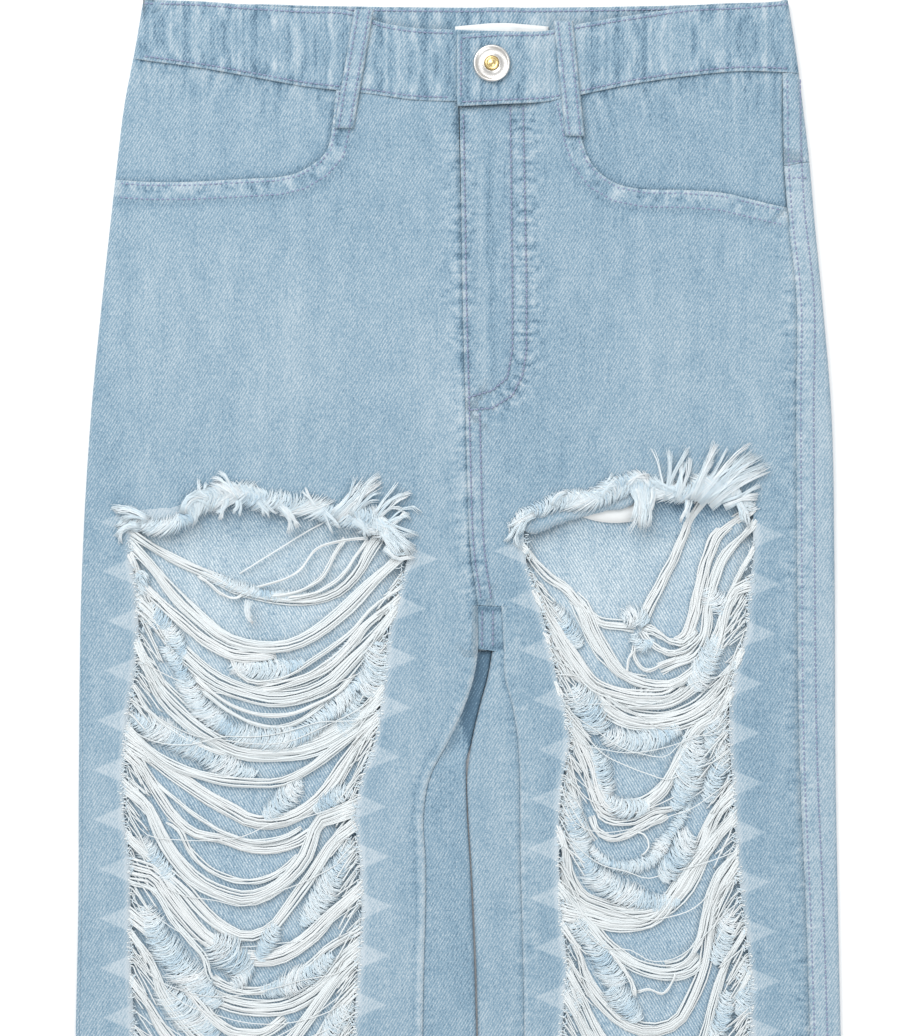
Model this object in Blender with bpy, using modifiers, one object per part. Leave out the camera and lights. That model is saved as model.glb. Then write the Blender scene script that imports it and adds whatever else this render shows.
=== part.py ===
"""Ripped jeans laid flat on their back, with every cut panel as its own closed wall of cloth.

Lengths are in millimetres, and become metres where a mesh is made. X runs from the wearer's
right (minus) to the left (plus), Y from the hem up to the waist, and Z up from the surface
that the jeans lie on. Each panel is a grid of its outer points, and Solidify adds the wall.
"""
import bmesh
import bpy
import numpy as np

MM = 0.001
LENGTH = 1046.8
SEAM_GAP = 0.3

# Walls of cloth
DENIM = 1.2
PLY = 1.0
WAIST_PLY = 2.0
THREAD_PLY = 1.1

# Heights of the layers above the surface
LEG_HEIGHT = 4.8
HIP_HEIGHT = 6.4
WAIST_HEIGHT = 6.9
TAB_RISE = 2.3
FACING_TOP = 4.85
BAG_TOP = 4.4

# Side folds and the outseam that shows on the wearer's left:
# height above the hem, right fold, left fold, left outseam
SIDES = np.array([
    (1046.8, -163.3, 171.1, 168.0),
    (1016.6, -168.5, 175.8, 168.2),
    (995.8, -172.6, 178.4, 168.4),
    (963.0, -176.8, 182.3, 169.0),
    (939.0, -179.5, 184.3, 170.4),
    (895.0, -184.3, 188.6, 175.2),
    (835.0, -190.2, 193.6, 175.2),
    (756.0, -195.0, 195.3, 175.8),
    (645.0, -196.9, 196.0, 177.5),
    (575.0, -197.2, 197.2, 180.5),
    (515.0, -198.5, 198.5, 182.4),
    (0.0, -203.0, 203.0, 185.6),
])

# Centre line of the front above the crotch: height, x
FRONT_CENTRE = np.array([
    (1010.0, 0.2),
    (939.0, 1.6),
    (895.0, 2.2),
    (835.0, 3.8),
    (808.0, 4.4),
    (756.0, 6.8),
    (735.0, 9.9),
    (709.3, 10.2),
])

# Inner legs below the crotch:
# height, right inseam, right fold, left fold, left inseam
CROTCH = 709.3
INNER_LEGS = np.array([
    (732.0, 10.0, 14.0, 17.7, 22.4),
    (709.3, 10.2, 14.0, 17.7, 23.7),
    (696.0, 8.1, 12.0, 15.5, 24.1),
    (680.0, 3.0, 8.3, 11.2, 28.4),
    (662.0, -5.4, 4.2, 7.2, 31.0),
    (645.0, -14.3, 4.1, 4.8, 32.0),
    (625.0, -18.0, 4.6, 5.2, 32.2),
    (600.0, -17.0, 6.1, 6.8, 32.4),
    (575.0, -17.0, 7.3, 8.1, 33.0),
    (545.0, -17.9, 8.5, 9.4, 33.8),
    (515.0, -18.4, 9.3, 10.2, 34.3),
    (0.0, -27.0, -9.0, 19.0, 37.0),
])

# Centre seam of the back: height, x
BACK_CENTRE = np.array([(1046.8, 23.4), (709.3, 14.6)])
YOKE_SIDE = 963.0
YOKE_CENTRE = 936.0

# Edges of the waistband on top, and of its back part: x, upper edge, lower edge
WAIST_RIGHT = np.array([
    (-168.0, 1046.8, 1016.1),
    (-133.0, 1045.8, 1011.4),
    (-106.0, 1043.8, 1006.7),
    (-80.0, 1042.2, 1002.0),
    (-54.0, 1040.5, 999.0),
    (-40.0, 1035.0, 997.3),
    (-27.0, 1032.6, 995.3),
    (-2.0, 1031.2, 994.1),
    (32.0, 1030.2, 993.4),
])
WAIST_LEFT = np.array([
    (-0.5, 1028.3, 991.4),
    (20.0, 1029.7, 992.4),
    (47.0, 1030.8, 994.2),
    (60.0, 1033.6, 996.8),
    (91.0, 1038.8, 1003.2),
    (120.0, 1042.9, 1007.4),
    (147.0, 1044.3, 1009.8),
    (176.0, 1046.8, 1008.8),
])
WAIST_BACK = np.array([
    (-168.0, 1046.8, 1016.1),
    (-80.0, 1044.5, 1010.0),
    (22.0, 1043.4, 1007.7),
    (110.0, 1044.5, 1007.7),
    (176.0, 1046.8, 1008.8),
])
UNDERLAP_END = 30.0
TAB_END = -0.5
TAB_FLAT = 31.5
TAB_RAMP = 47.0

# Upper edge of each front panel, from the side along the scoop pocket: x, height.
# The points after the scoop lie along the waistband.
SCOOP_RIGHT = np.array([
    (-160.2, 952.4), (-139.4, 952.4), (-120.1, 953.4), (-105.0, 954.2), (-93.1, 954.9),
    (-82.7, 957.3), (-73.3, 963.0), (-67.6, 969.5), (-65.0, 981.4),
])
SCOOP_LEFT = np.array([
    (170.2, 939.0), (161.7, 940.9), (152.9, 943.0), (137.3, 946.7), (118.0, 948.2),
    (97.2, 948.5), (83.2, 951.1), (73.8, 956.8), (67.6, 964.6), (64.0, 975.0),
])
ALONG_WAIST_RIGHT = (-63.2, -40.0, -27.0)
ALONG_WAIST_LEFT = (60.0, 47.0, 20.0)
SCOOP_RIGHT_SIDE = 953.4

# Side edges of the two rips: height, right rip outer and inner edge, left rip inner and outer
RIP_EDGES = np.array([
    (925.0, -158.0, -42.0, 48.0, 155.0),
    (808.0, -169.0, -25.0, 31.0, 153.0),
    (756.0, -169.5, -26.5, 35.2, 152.8),
    (743.0, -166.4, -30.0, 39.6, 150.6),
    (720.0, -165.5, -36.0, 46.0, 149.5),
    (696.0, -167.6, -38.5, 51.3, 142.2),
    (680.0, -170.5, -40.3, 55.6, 140.6),
    (662.0, -172.3, -43.5, 58.4, 140.6),
    (645.0, -173.2, -50.0, 54.5, 142.0),
    (625.0, -173.3, -54.0, 52.6, 143.2),
    (600.0, -170.0, -51.0, 52.2, 144.5),
    (575.0, -169.8, -50.0, 53.5, 147.8),
    (545.0, -169.5, -52.0, 57.0, 151.3),
    (515.0, -168.0, -54.0, 54.0, 151.3),
    (405.6, -166.0, -56.0, 53.0, 150.0),
    (0.0, -166.0, -60.0, 62.0, 152.0),
])
# Torn upper edge of each rip: x, height
TORN_RIGHT = np.array([
    (-170.0, 773.8), (-146.0, 776.4), (-136.0, 781.2), (-126.0, 786.0), (-108.0, 785.2),
    (-88.0, 781.2), (-70.0, 781.2), (-63.0, 776.4), (-45.0, 771.2), (-24.0, 764.9),
])
TORN_LEFT = np.array([
    (29.0, 772.2), (41.0, 781.6), (59.0, 788.8), (78.0, 794.8), (95.0, 797.2),
    (125.0, 796.0), (146.0, 792.0), (153.0, 783.0),
])
RIP_COLUMNS = 8

# Heights of the panels' cross rows
HIP_ROWS = (925.0, 895.0, 865.0, 835.0, 808.0)
LEG_ROWS = (756.0, 743.0, 735.0, 732.0, 720.0, 709.3, 696.0, 680.0, 662.0, 645.0, 625.0, 600.0,
            575.0, 545.0, 515.0, 480.0, 443.0, 405.6, 340.0, 270.0, 200.0, 130.0, 60.0, 0.0)
RIP_FOOT = 405.6

# Plates sewn on the underside, which the cloth above them clears: x from, x to, y from, y to,
# rise of the cloth
LOOP_HALF = 5.0
BACK_LOOPS = {"belt_loop_back_R": -96.0, "belt_loop_back_C": 22.0, "belt_loop_back_L": 140.0}
LOOP_FOOT = 998.0
LOOP_HEAD = 1040.0
POCKETS = {"back_pocket_R": (-144.0, -26.0), "back_pocket_L": (55.0, 173.0)}
POCKET_FOOT = 775.0
POCKET_CORNER = 797.0
POCKET_HEAD = 923.8
PLATE_CLEAR = 1.2
PLATE_RAMP = 4.0
PLATES = [(x0, x1, POCKET_FOOT, POCKET_HEAD, DENIM + SEAM_GAP) for x0, x1 in POCKETS.values()]
PLATES += [(x - LOOP_HALF, x + LOOP_HALF, LOOP_FOOT, LENGTH, PLY + SEAM_GAP)
           for x in BACK_LOOPS.values()]

# Largest soft folds of the front: x and y of the upper end, x and y of the lower end,
# half width, height
SOFT_FOLDS = (
    (3.0, 990.0, 8.0, 740.0, 6.0, 0.9),
    (33.0, 985.0, 30.0, 840.0, 7.0, 0.8),
    (98.0, 905.0, 106.0, 815.0, 12.0, 1.1),
    (-92.0, 905.0, -84.0, 815.0, 14.0, 0.8),
    (-28.0, 720.0, -30.0, 600.0, 7.0, 0.7),
    (40.0, 700.0, 44.0, 560.0, 6.0, 0.6),
)


def remove_everything():
    """Start from an empty scene."""
    for thing in list(bpy.data.objects):
        bpy.data.objects.remove(thing, do_unlink=True)


def material(name, colour, roughness, metallic=0.0):
    """Principled material with one colour."""
    made = bpy.data.materials.new(name)
    made.use_nodes = True
    shader = made.node_tree.nodes["Principled BSDF"]
    shader.inputs["Base Color"].default_value = (*colour, 1.0)
    shader.inputs["Roughness"].default_value = roughness
    shader.inputs["Metallic"].default_value = metallic
    made.diffuse_color = (*colour, 1.0)
    return made


def read(table, y, column=1):
    """Value of one column of a table at height y, straight between its rows."""
    order = np.argsort(table[:, 0])
    return np.interp(y, table[order, 0], table[order, column])


def stack_height(y):
    """Height of the flat stack: the legs' below the crotch, easing up to the hips'."""
    t = np.clip((np.asarray(y) - 690.0) / 110.0, 0.0, 1.0)
    return LEG_HEIGHT + (HIP_HEIGHT - LEG_HEIGHT) * t * t * (3.0 - 2.0 * t)


def lift(x, y):
    """Rise of the underside over the sewn plates: flat over each, then a straight ramp down."""
    x, y = np.broadcast_arrays(np.asarray(x, float), np.asarray(y, float))
    rise = np.zeros(x.shape)
    for x0, x1, y0, y1, height in PLATES:
        away = np.maximum(np.maximum(x0 - x, x - x1), np.maximum(y0 - y, y - y1))
        rise = np.maximum(rise, height * np.clip(1.0 - (away - PLATE_CLEAR) / PLATE_RAMP, 0.0, 1.0))
    return rise


def relief(x, y):
    """Soft folds of the front: each is a bell across its line, fading at both ends."""
    x, y = np.broadcast_arrays(np.asarray(x, float), np.asarray(y, float))
    total = np.zeros(x.shape)
    for x0, y0, x1, y1, half, height in SOFT_FOLDS:
        t = np.clip((y0 - y) / (y0 - y1), 0.0, 1.0)
        across = (x - (x0 + (x1 - x0) * t)) / half
        total += height * np.exp(-across * across) * np.sin(np.pi * t) ** 0.5
    return total


def front_top(x, y):
    """Height of the front panels' outer face."""
    return stack_height(y) + relief(x, y)


def right_outseam(y):
    """Where the front panel starts on the wearer's right: on top, just past the side fold."""
    return read(SIDES, y, 1) + stack_height(y) / 2.0 + 1.0


def fold_arc(x_fold, y, side, angles):
    """Columns round a fold: points of a circle as high as the stack, at the given degrees."""
    radius = stack_height(y) / 2.0
    centre = x_fold - side * radius
    return [(centre + radius * np.cos(a), y, radius + radius * np.sin(a)) for a in np.radians(angles)]


def grid(columns):
    """Set columns of (x, y, z) side by side as rows by columns by xyz."""
    return np.stack([np.stack(np.broadcast_arrays(*c), axis=-1) for c in columns], axis=1)


def add_sheet(name, points, wall, finish, keep=None):
    """Make one piece from a grid of outer points, with its wall on the inner side.

    Rows run from the waist down, and columns clockwise seen from the hem, so faces point out.
    keep marks the cells that are cloth.
    """
    rows, columns = points.shape[:2]
    index = np.arange(rows * columns).reshape(rows, columns)
    cells = np.stack([index[:-1, :-1], index[1:, :-1], index[1:, 1:], index[:-1, 1:]], axis=-1)
    cells = cells.reshape(-1, 4) if keep is None else cells[keep]
    placed = points.reshape(-1, 3) * MM
    mesh = bpy.data.meshes.new(name)
    mesh.from_pydata(placed.tolist(), [], cells.tolist())
    work = bmesh.new()
    work.from_mesh(mesh)
    loose = [v for v in work.verts if not v.link_faces]
    bmesh.ops.delete(work, geom=loose, context="VERTS")
    work.to_mesh(mesh)
    work.free()
    piece = add_object(name, mesh, finish)
    solid = piece.modifiers.new("wall", "SOLIDIFY")
    solid.thickness = wall * MM
    solid.offset = -1.0
    solid.use_even_offset = True
    return piece


def add_object(name, mesh, finish):
    """Put a mesh in the jeans' collection, under the empty that carries the origin."""
    mesh.materials.clear()
    mesh.materials.append(finish)
    piece = bpy.data.objects.new(name, mesh)
    jeans.objects.link(piece)
    piece.parent = origin
    return piece


def back_rows():
    """Heights of the back panels' rows under the yoke seam, with the pocket's ramp rows."""
    ramp_rows = (929.0, 773.8, 769.8)
    tab_top = 731.4
    rows = set(HIP_ROWS) | set(LEG_ROWS) | set(ramp_rows) | {tab_top}
    return np.array(sorted(rows - {732.0, 735.0, 743.0}, reverse=True))


def yoke_seam(x):
    """Height of the seam under the yoke: straight from the centre back up to each side fold."""
    centre = read(BACK_CENTRE, YOKE_CENTRE)
    x = np.asarray(x, float)
    side = np.where(x < centre, read(SIDES, YOKE_SIDE, 1), read(SIDES, YOKE_SIDE, 2))
    return YOKE_CENTRE + (YOKE_SIDE - YOKE_CENTRE) * (x - centre) / (side - centre)


def flat_columns(xs, y):
    """Columns at fixed x on the underside, raised over the plates."""
    return [(np.full(y.shape, x), y, lift(x, y)) for x in xs]


def seam_top_row(points, drop):
    """Move the first row of a panel onto the yoke seam, or just below it."""
    points[0, :, 1] = yoke_seam(points[0, :, 0]) + drop
    return points


def add_back_right(finish):
    """Back panel, wearer's right: inseam on top, inner fold, underside, side fold."""
    y = np.concatenate([[YOKE_SIDE], back_rows()])
    below = y <= CROTCH
    height = stack_height(y)
    fold = read(INNER_LEGS, y, 2)
    seam = read(INNER_LEGS, y, 1) + SEAM_GAP
    inner_end = np.where(below, fold - height / 2.0, read(BACK_CENTRE, y) - SEAM_GAP / 2.0)
    side = read(SIDES, y, 1)
    columns = [(seam, y, height)]
    columns += fold_arc(fold, y, 1, (90.0, 45.0, 0.0, -45.0))
    columns += [(inner_end, y, lift(inner_end, y))]
    columns += flat_columns((-20.8, -24.8, -55.0, -85.0, -115.0, -145.2, -149.2, -165.0), y)
    columns += fold_arc(side, y, -1, (270.0, 225.0, 180.0, 135.0, 90.0))
    columns += [(right_outseam(y) - SEAM_GAP, y, height)]
    points = seam_top_row(grid(columns), -SEAM_GAP / 2.0)
    keep = np.ones((len(y) - 1, len(columns) - 1), bool)
    wrap_columns = 5
    keep[:, :wrap_columns] = below[:-1, None]
    add_sheet("back_leg_R", points, DENIM, finish, keep)


def add_back_left(finish):
    """Back panel, wearer's left: outseam on top, side fold, underside, inner fold, inseam."""
    y = np.concatenate([[YOKE_SIDE], back_rows()])
    below = y <= CROTCH
    height = stack_height(y)
    fold = read(INNER_LEGS, y, 3)
    inner_end = np.where(below, fold + height / 2.0, read(BACK_CENTRE, y) + SEAM_GAP / 2.0)
    side = read(SIDES, y, 2)
    seam = read(SIDES, y, 3) + SEAM_GAP
    columns = [(seam, y, height), ((seam + side - height / 2.0) / 2.0, y, height)]
    columns += fold_arc(side, y, 1, (90.0, 45.0, 0.0, -45.0, -90.0))
    columns += flat_columns((178.2, 174.2, 144.0, 114.0, 84.0, 53.8, 49.8), y)
    columns += [(inner_end, y, lift(inner_end, y))]
    columns += fold_arc(fold, y, -1, (225.0, 180.0, 135.0))
    tab_left = read(INNER_LEGS, y, 1) + 2.0 * SEAM_GAP
    top_start = np.where(below, fold + height / 2.0, tab_left)
    columns += [(top_start, y, height)]
    columns += [(read(INNER_LEGS, y, 4) - SEAM_GAP, y, height)]
    points = seam_top_row(grid(columns), -SEAM_GAP / 2.0)
    keep = np.ones((len(y) - 1, len(columns) - 1), bool)
    keep[:, -5:-1] = below[:-1, None]
    keep[:, -1] = y[:-1] <= 731.5
    add_sheet("back_leg_L", points, DENIM, finish, keep)


def add_yokes(finish):
    """Back yokes: from the waistband to the yoke seam, round the side folds to the outseams."""
    y = np.array([1007.0, 996.8, 992.8, 978.0, YOKE_SIDE])
    height = stack_height(y)
    centre = read(BACK_CENTRE, y)
    side = read(SIDES, y, 1)
    right = [(centre - SEAM_GAP / 2.0, y, lift(centre, y))]
    right += flat_columns((15.8, 11.8, -20.0, -55.0, -85.8, -89.8, -102.2, -106.2, -140.0), y)
    right += fold_arc(side, y, -1, (270.0, 225.0, 180.0, 135.0, 90.0))
    right += [(right_outseam(y) - SEAM_GAP, y, height)]
    side = read(SIDES, y, 2)
    seam = read(SIDES, y, 3) + SEAM_GAP
    left = [(seam, y, height)]
    left += fold_arc(side, y, 1, (90.0, 45.0, 0.0, -45.0, -90.0))
    left += flat_columns((150.2, 146.2, 133.8, 129.8, 95.0, 60.0, 32.2, 28.2), y)
    left += [(centre + SEAM_GAP / 2.0, y, lift(centre, y))]
    for name, columns in (("yoke_R", right), ("yoke_L", left)):
        points = grid(columns)
        points[0, :, 1] = read(WAIST_BACK, points[0, :, 0], 2) - SEAM_GAP
        points[-1, :, 1] = yoke_seam(points[-1, :, 0]) + SEAM_GAP / 2.0
        add_sheet(name, points, DENIM, finish)


def front_grid(side, top_xy, torn, inner_edge, rip_columns):
    """Outer points of a front panel, from the torn-open rip's columns and cross rows.

    Columns run from the side to the centre. The first row follows the scoop and the waistband,
    and one row follows the rip's torn upper edge.
    """
    rows = HIP_ROWS + (None,) + LEG_ROWS
    lines = [top_xy]
    for height in rows:
        outer_y = height if height is not None else torn[0 if side < 0 else -1, 1]
        inner_y = height if height is not None else torn[-1 if side < 0 else 0, 1]
        rip_outer = read(RIP_EDGES, outer_y, rip_columns[0])
        rip_inner = read(RIP_EDGES, inner_y, rip_columns[1])
        if side < 0:
            flat_end = right_outseam(outer_y)
        else:
            flat_end = read(SIDES, outer_y, 3)
        across = rip_outer + (rip_inner - rip_outer) * np.arange(RIP_COLUMNS + 1) / RIP_COLUMNS
        edge = inner_edge(inner_y)
        inward = rip_inner + (edge - rip_inner) * np.array([1.0, 2.0, 3.0]) / 3.0
        x = np.concatenate([[flat_end, (flat_end + rip_outer) / 2.0], across, inward])
        y = np.full(x.shape, height if height is not None else 0.0)
        if height is None:
            y[:2] = outer_y
            y[-3:] = inner_y
            y[2:-3] = np.interp(across, torn[:, 0], torn[:, 1])
            y[2] = outer_y
            y[-4] = inner_y
        lines.append(np.stack([x, y], axis=-1))
    flat = np.stack(lines)
    return np.concatenate([flat, front_top(flat[..., 0], flat[..., 1])[..., None]], axis=-1)


def rip_cells(rows, columns, first_column):
    """Cells of a front panel that are cloth: all but those between the torn edge and the foot."""
    keep = np.ones((rows - 1, columns - 1), bool)
    torn_row = 1 + len(HIP_ROWS)
    foot_row = torn_row + 1 + LEG_ROWS.index(RIP_FOOT)
    keep[torn_row:foot_row, first_column:first_column + RIP_COLUMNS] = False
    return keep


def waist_edge(table, xs):
    """Points just under the waistband's lower edge."""
    xs = np.array(xs)
    return np.stack([xs, read(table, xs, 2) - SEAM_GAP], axis=-1)


def right_inner_edge(y):
    """Front panel's inner edge, wearer's right: centre line, then inseam."""
    return read(FRONT_CENTRE, y) if y >= CROTCH else read(INNER_LEGS, y, 1)


def left_inner_edge(y):
    """Front panel's inner edge, wearer's left: beside the centre line, then inseam."""
    return read(FRONT_CENTRE, y) + SEAM_GAP if y >= 735.0 else read(INNER_LEGS, y, 4)


def add_front_right(finish):
    """Front panel, wearer's right, from the outseam by the side fold to the centre."""
    start = np.array([(right_outseam(SCOOP_RIGHT_SIDE), SCOOP_RIGHT_SIDE)])
    end = waist_edge(WAIST_RIGHT, ALONG_WAIST_RIGHT + (0.1,))
    points = front_grid(-1, np.concatenate([start, SCOOP_RIGHT, end]), TORN_RIGHT,
                        right_inner_edge, (1, 2))
    first_rip_column = 2
    keep = rip_cells(points.shape[0], points.shape[1], first_rip_column)
    add_sheet("front_leg_R", points, DENIM, finish, keep)


def add_front_left(finish):
    """Front panel, wearer's left, from the outseam on top to the centre."""
    end = waist_edge(WAIST_LEFT, ALONG_WAIST_LEFT + (0.7,))
    points = front_grid(1, np.concatenate([SCOOP_LEFT, end]), TORN_LEFT, left_inner_edge, (4, 3))
    points = points[:, ::-1]
    first_rip_column = 3
    keep = rip_cells(points.shape[0], points.shape[1], first_rip_column)
    add_sheet("front_leg_L", points, DENIM, finish, keep)


def add_facings(finish):
    """Denim inside the scoops, tucked under the front panels."""
    y = np.array([1007.0, 995.0, 980.0, 967.0, 954.2, 948.0, 940.0])
    points = grid([(right_outseam(y), y, FACING_TOP)]
                  + [(x, y, FACING_TOP) for x in (-145.0, -115.0, -85.0, -65.0, -50.0)])
    points[0, :, 1] = read(WAIST_RIGHT, points[0, :, 0], 2) - SEAM_GAP
    add_sheet("pocket_facing_R", points, PLY, finish)
    y = np.array([1003.0, 985.0, 965.0, 950.0, 939.0, 934.0])
    seam = read(SIDES, y, 3) - SEAM_GAP
    points = grid([(x, y, FACING_TOP) for x in (48.0, 62.0, 80.0, 110.0, 140.0)]
                  + [(seam, y, FACING_TOP)])
    points[0, :, 1] = read(WAIST_LEFT, points[0, :, 0], 2) - SEAM_GAP
    add_sheet("pocket_facing_L", points, PLY, finish)


def add_bag(finish):
    """White pocket bag, wearer's left: its slanting lower edge shows in the rip."""
    x = np.linspace(54.0, 150.0, 6)
    foot = 773.0 + (788.0 - 773.0) * (x - x[0]) / (x[-1] - x[0])
    heights = [np.full(x.shape, h) for h in (933.4, 880.0, 830.0)] + [foot]
    rows = [np.stack([x, h, np.full(x.shape, BAG_TOP)], axis=-1) for h in heights]
    add_sheet("pocket_bag_L", np.stack(rows), PLY, finish)


def waist_top(x):
    """Height of the waistband's upper face on the wearer's left, raised at the button tab."""
    t = np.clip((TAB_RAMP - np.asarray(x, float)) / (TAB_RAMP - TAB_FLAT), 0.0, 1.0)
    return WAIST_HEIGHT + TAB_RISE * t


def add_waistband(finish):
    """One strip: button tab, wearer's left, left fold, back, right fold, front, underlap."""
    radius = WAIST_HEIGHT / 2.0
    left_xs = (TAB_END, 20.0, TAB_FLAT, TAB_RAMP, 60.0, 91.0, 120.0, 147.0)
    back_xs = (150.2, 146.2, 133.8, 129.8, 95.0, 60.0, 32.2, 28.2, 15.8, 11.8, -20.0, -55.0,
               -85.8, -89.8, -102.2, -106.2, -140.0)
    right_xs = (-133.0, -106.0, -80.0, -54.0, -40.0, -27.0, -2.0, 15.0, UNDERLAP_END)
    shares = np.array([1.0, 0.5, 0.0])

    def column(table, x, z_of):
        """Three points across the strip at one x."""
        upper, lower = read(table, x, 1), read(table, x, 2)
        y = lower + (upper - lower) * shares
        return (np.full(3, x), y, np.broadcast_to(z_of(x, y), 3))

    def turn(table, side_column, side, angles):
        """Columns round a side fold."""
        x = 176.0 * side if side > 0 else -168.0
        upper, lower = read(table, x, 1), read(table, x, 2)
        y = lower + (upper - lower) * shares
        centre = read(SIDES, y, side_column) - side * radius
        return [(centre + radius * np.cos(a), y, np.full(3, radius + radius * np.sin(a)))
                for a in np.radians(angles)]

    columns = [column(WAIST_LEFT, x, lambda at, y: waist_top(at)) for x in left_xs]
    columns += turn(WAIST_LEFT, 2, 1, (90.0, 54.0, 18.0, -18.0, -54.0, -90.0))
    columns += [column(WAIST_BACK, x, lift) for x in back_xs]
    columns += turn(WAIST_RIGHT, 1, -1, (270.0, 234.0, 198.0, 162.0, 126.0, 90.0))
    columns += [column(WAIST_RIGHT, x, lambda at, y: WAIST_HEIGHT) for x in right_xs]
    add_sheet("waistband", grid(columns), WAIST_PLY, finish)


def add_label(finish):
    """Bare label inside the back of the waistband."""
    y = np.array([1035.0, 1024.0, 1012.0])
    xs = (-1.6, 11.8, 15.8, 28.2, 32.2, 46.8)
    columns = [(x, y, WAIST_PLY + lift(x, y) + SEAM_GAP + PLY) for x in xs]
    add_sheet("waist_label", grid(columns), PLY, finish)


def add_front_loops(finish):
    """Front belt loops, laid over the waistband and sewn down below it."""
    # name, x of the upper left corner, its height, x of the lower left corner, its height
    loops = (("belt_loop_front_R", -53.6, 1041.5, -64.1, 980.0, WAIST_RIGHT),
             ("belt_loop_front_L", 49.3, 1035.5, 55.5, 976.0, WAIST_LEFT))
    wall = DENIM
    for name, x0, y0, x1, y1, table in loops:
        share = np.array([0.0, 0.12, 0.4, 0.62, 0.7, 0.85, 1.0])
        left = x0 + (x1 - x0) * share
        y = y0 + (y1 - y0) * share
        columns = []
        for x in (left, left + LOOP_HALF, left + 2.0 * LOOP_HALF):
            over_band = y > read(table, x, 2) - 3.0
            under = np.where(over_band, WAIST_HEIGHT, front_top(x, y))
            columns.append((x, y, under + SEAM_GAP + wall))
        add_sheet(name, grid(columns), wall, finish)


def add_plate(name, outline, wall, finish):
    """Flat plate on the surface: a filled outline, extruded by half its thickness each way."""
    curve = bpy.data.curves.new(name, "CURVE")
    curve.dimensions = "2D"
    curve.fill_mode = "BOTH"
    curve.extrude = wall * MM / 2.0
    spline = curve.splines.new("POLY")
    spline.points.add(len(outline) - 1)
    for point, (x, y) in zip(spline.points, outline):
        point.co = (x * MM, y * MM, 0.0, 1.0)
    spline.use_cyclic_u = True
    drawn = bpy.data.objects.new(name + "_outline", curve)
    jeans.objects.link(drawn)
    graph = bpy.context.evaluated_depsgraph_get()
    mesh = bpy.data.meshes.new_from_object(drawn.evaluated_get(graph))
    bpy.data.objects.remove(drawn, do_unlink=True)
    work = bmesh.new()
    work.from_mesh(mesh)
    bmesh.ops.remove_doubles(work, verts=work.verts, dist=0.00001)
    bmesh.ops.translate(work, verts=work.verts, vec=(0.0, 0.0, wall * MM / 2.0))
    bmesh.ops.recalc_face_normals(work, faces=work.faces)
    work.to_mesh(mesh)
    work.free()
    add_object(name, mesh, finish)


def add_underside(finish):
    """Back pockets and back belt loops, flush with the surface."""
    for name, (x0, x1) in POCKETS.items():
        taper = 5.0
        middle = (x0 + x1) / 2.0
        outline = [(x0, POCKET_HEAD), (x0 + taper, POCKET_CORNER), (middle, POCKET_FOOT),
                   (x1 - taper, POCKET_CORNER), (x1, POCKET_HEAD)]
        add_plate(name, outline, DENIM, finish)
    for name, x in BACK_LOOPS.items():
        outline = [(x - LOOP_HALF, LOOP_HEAD), (x - LOOP_HALF, LOOP_FOOT),
                   (x + LOOP_HALF, LOOP_FOOT), (x + LOOP_HALF, LOOP_HEAD)]
        add_plate(name, outline, PLY, finish)


def add_threads(name, outer, inner, sag, finish):
    """Loose cross threads of a rip: ropes that sag between two strips along its sides.

    Ropes come in pairs with a wide gap between pairs. Each is lowest at its middle, by the
    sag towards the hem and down onto the back panel.
    """
    edge_gap = 1.0
    strip = 2.0
    rope = 5.0
    slit = 4.2
    pitch = 26.5
    pairs = 12
    first = 752.0
    rows = []
    is_rope = []
    for pair in range(pairs):
        top = first - pitch * pair
        rows += [top, top - rope, top - rope - slit, top - 2.0 * rope - slit]
        is_rope += [True, False, True, False]
    rows.append(RIP_FOOT + 3.0)
    y = np.array(rows)
    left = read(RIP_EDGES, y, outer) + edge_gap
    right = read(RIP_EDGES, y, inner) - edge_gap
    height = stack_height(y)
    lowest = DENIM + SEAM_GAP + THREAD_PLY
    steps = 8
    columns = [(left, y, height)]
    for share in np.arange(steps + 1) / steps:
        x = left + strip + (right - left - 2.0 * strip) * share
        hang = np.sin(np.pi * share)
        columns.append((x, y - sag * hang, height - (height - lowest) * hang))
    columns.append((right, y, height))
    keep = np.ones((len(rows) - 1, len(columns) - 1), bool)
    keep[:, 1:-1] = np.array(is_rope)[:, None]
    add_sheet(name, grid(columns), THREAD_PLY, finish, keep)


def add_fringe(name, torn, outer, inner, finish):
    """Torn tufts: a narrow strip under the rip's upper edge, with strands hanging from it."""
    strands = 3 * RIP_COLUMNS
    edge_gap = 0.6
    strip = 2.0
    x_ends = (read(RIP_EDGES, torn[0, 1], outer), read(RIP_EDGES, torn[-1, 1], inner))
    corners_x = np.linspace(x_ends[0], x_ends[1], RIP_COLUMNS + 1)
    corners_y = np.interp(corners_x, torn[:, 0], torn[:, 1])
    corners_y[0], corners_y[-1] = torn[0, 1], torn[-1, 1]
    x = np.linspace(x_ends[0] + 4.0, x_ends[1] - 4.0, 2 * strands)
    top = np.interp(x, corners_x, corners_y) - edge_gap
    wave = 0.5 + 0.5 * np.sin(np.arange(2 * strands) // 2 * 2.4)
    length = 5.0 + 6.0 * wave
    lean = 1.5 * np.sin(np.arange(2 * strands) // 2 * 1.7)
    z = stack_height(top)
    rows = [(x, top, z), (x, top - strip, z),
            (x + lean / 2.0, top - strip - length / 2.0, z - 0.1),
            (x + lean, top - strip - length, z - 0.3)]
    points = np.stack([np.stack(row, axis=-1) for row in rows])
    keep = np.ones((3, 2 * strands - 1), bool)
    keep[1:, 1::2] = False
    add_sheet(name, points, THREAD_PLY, finish, keep)


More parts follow.
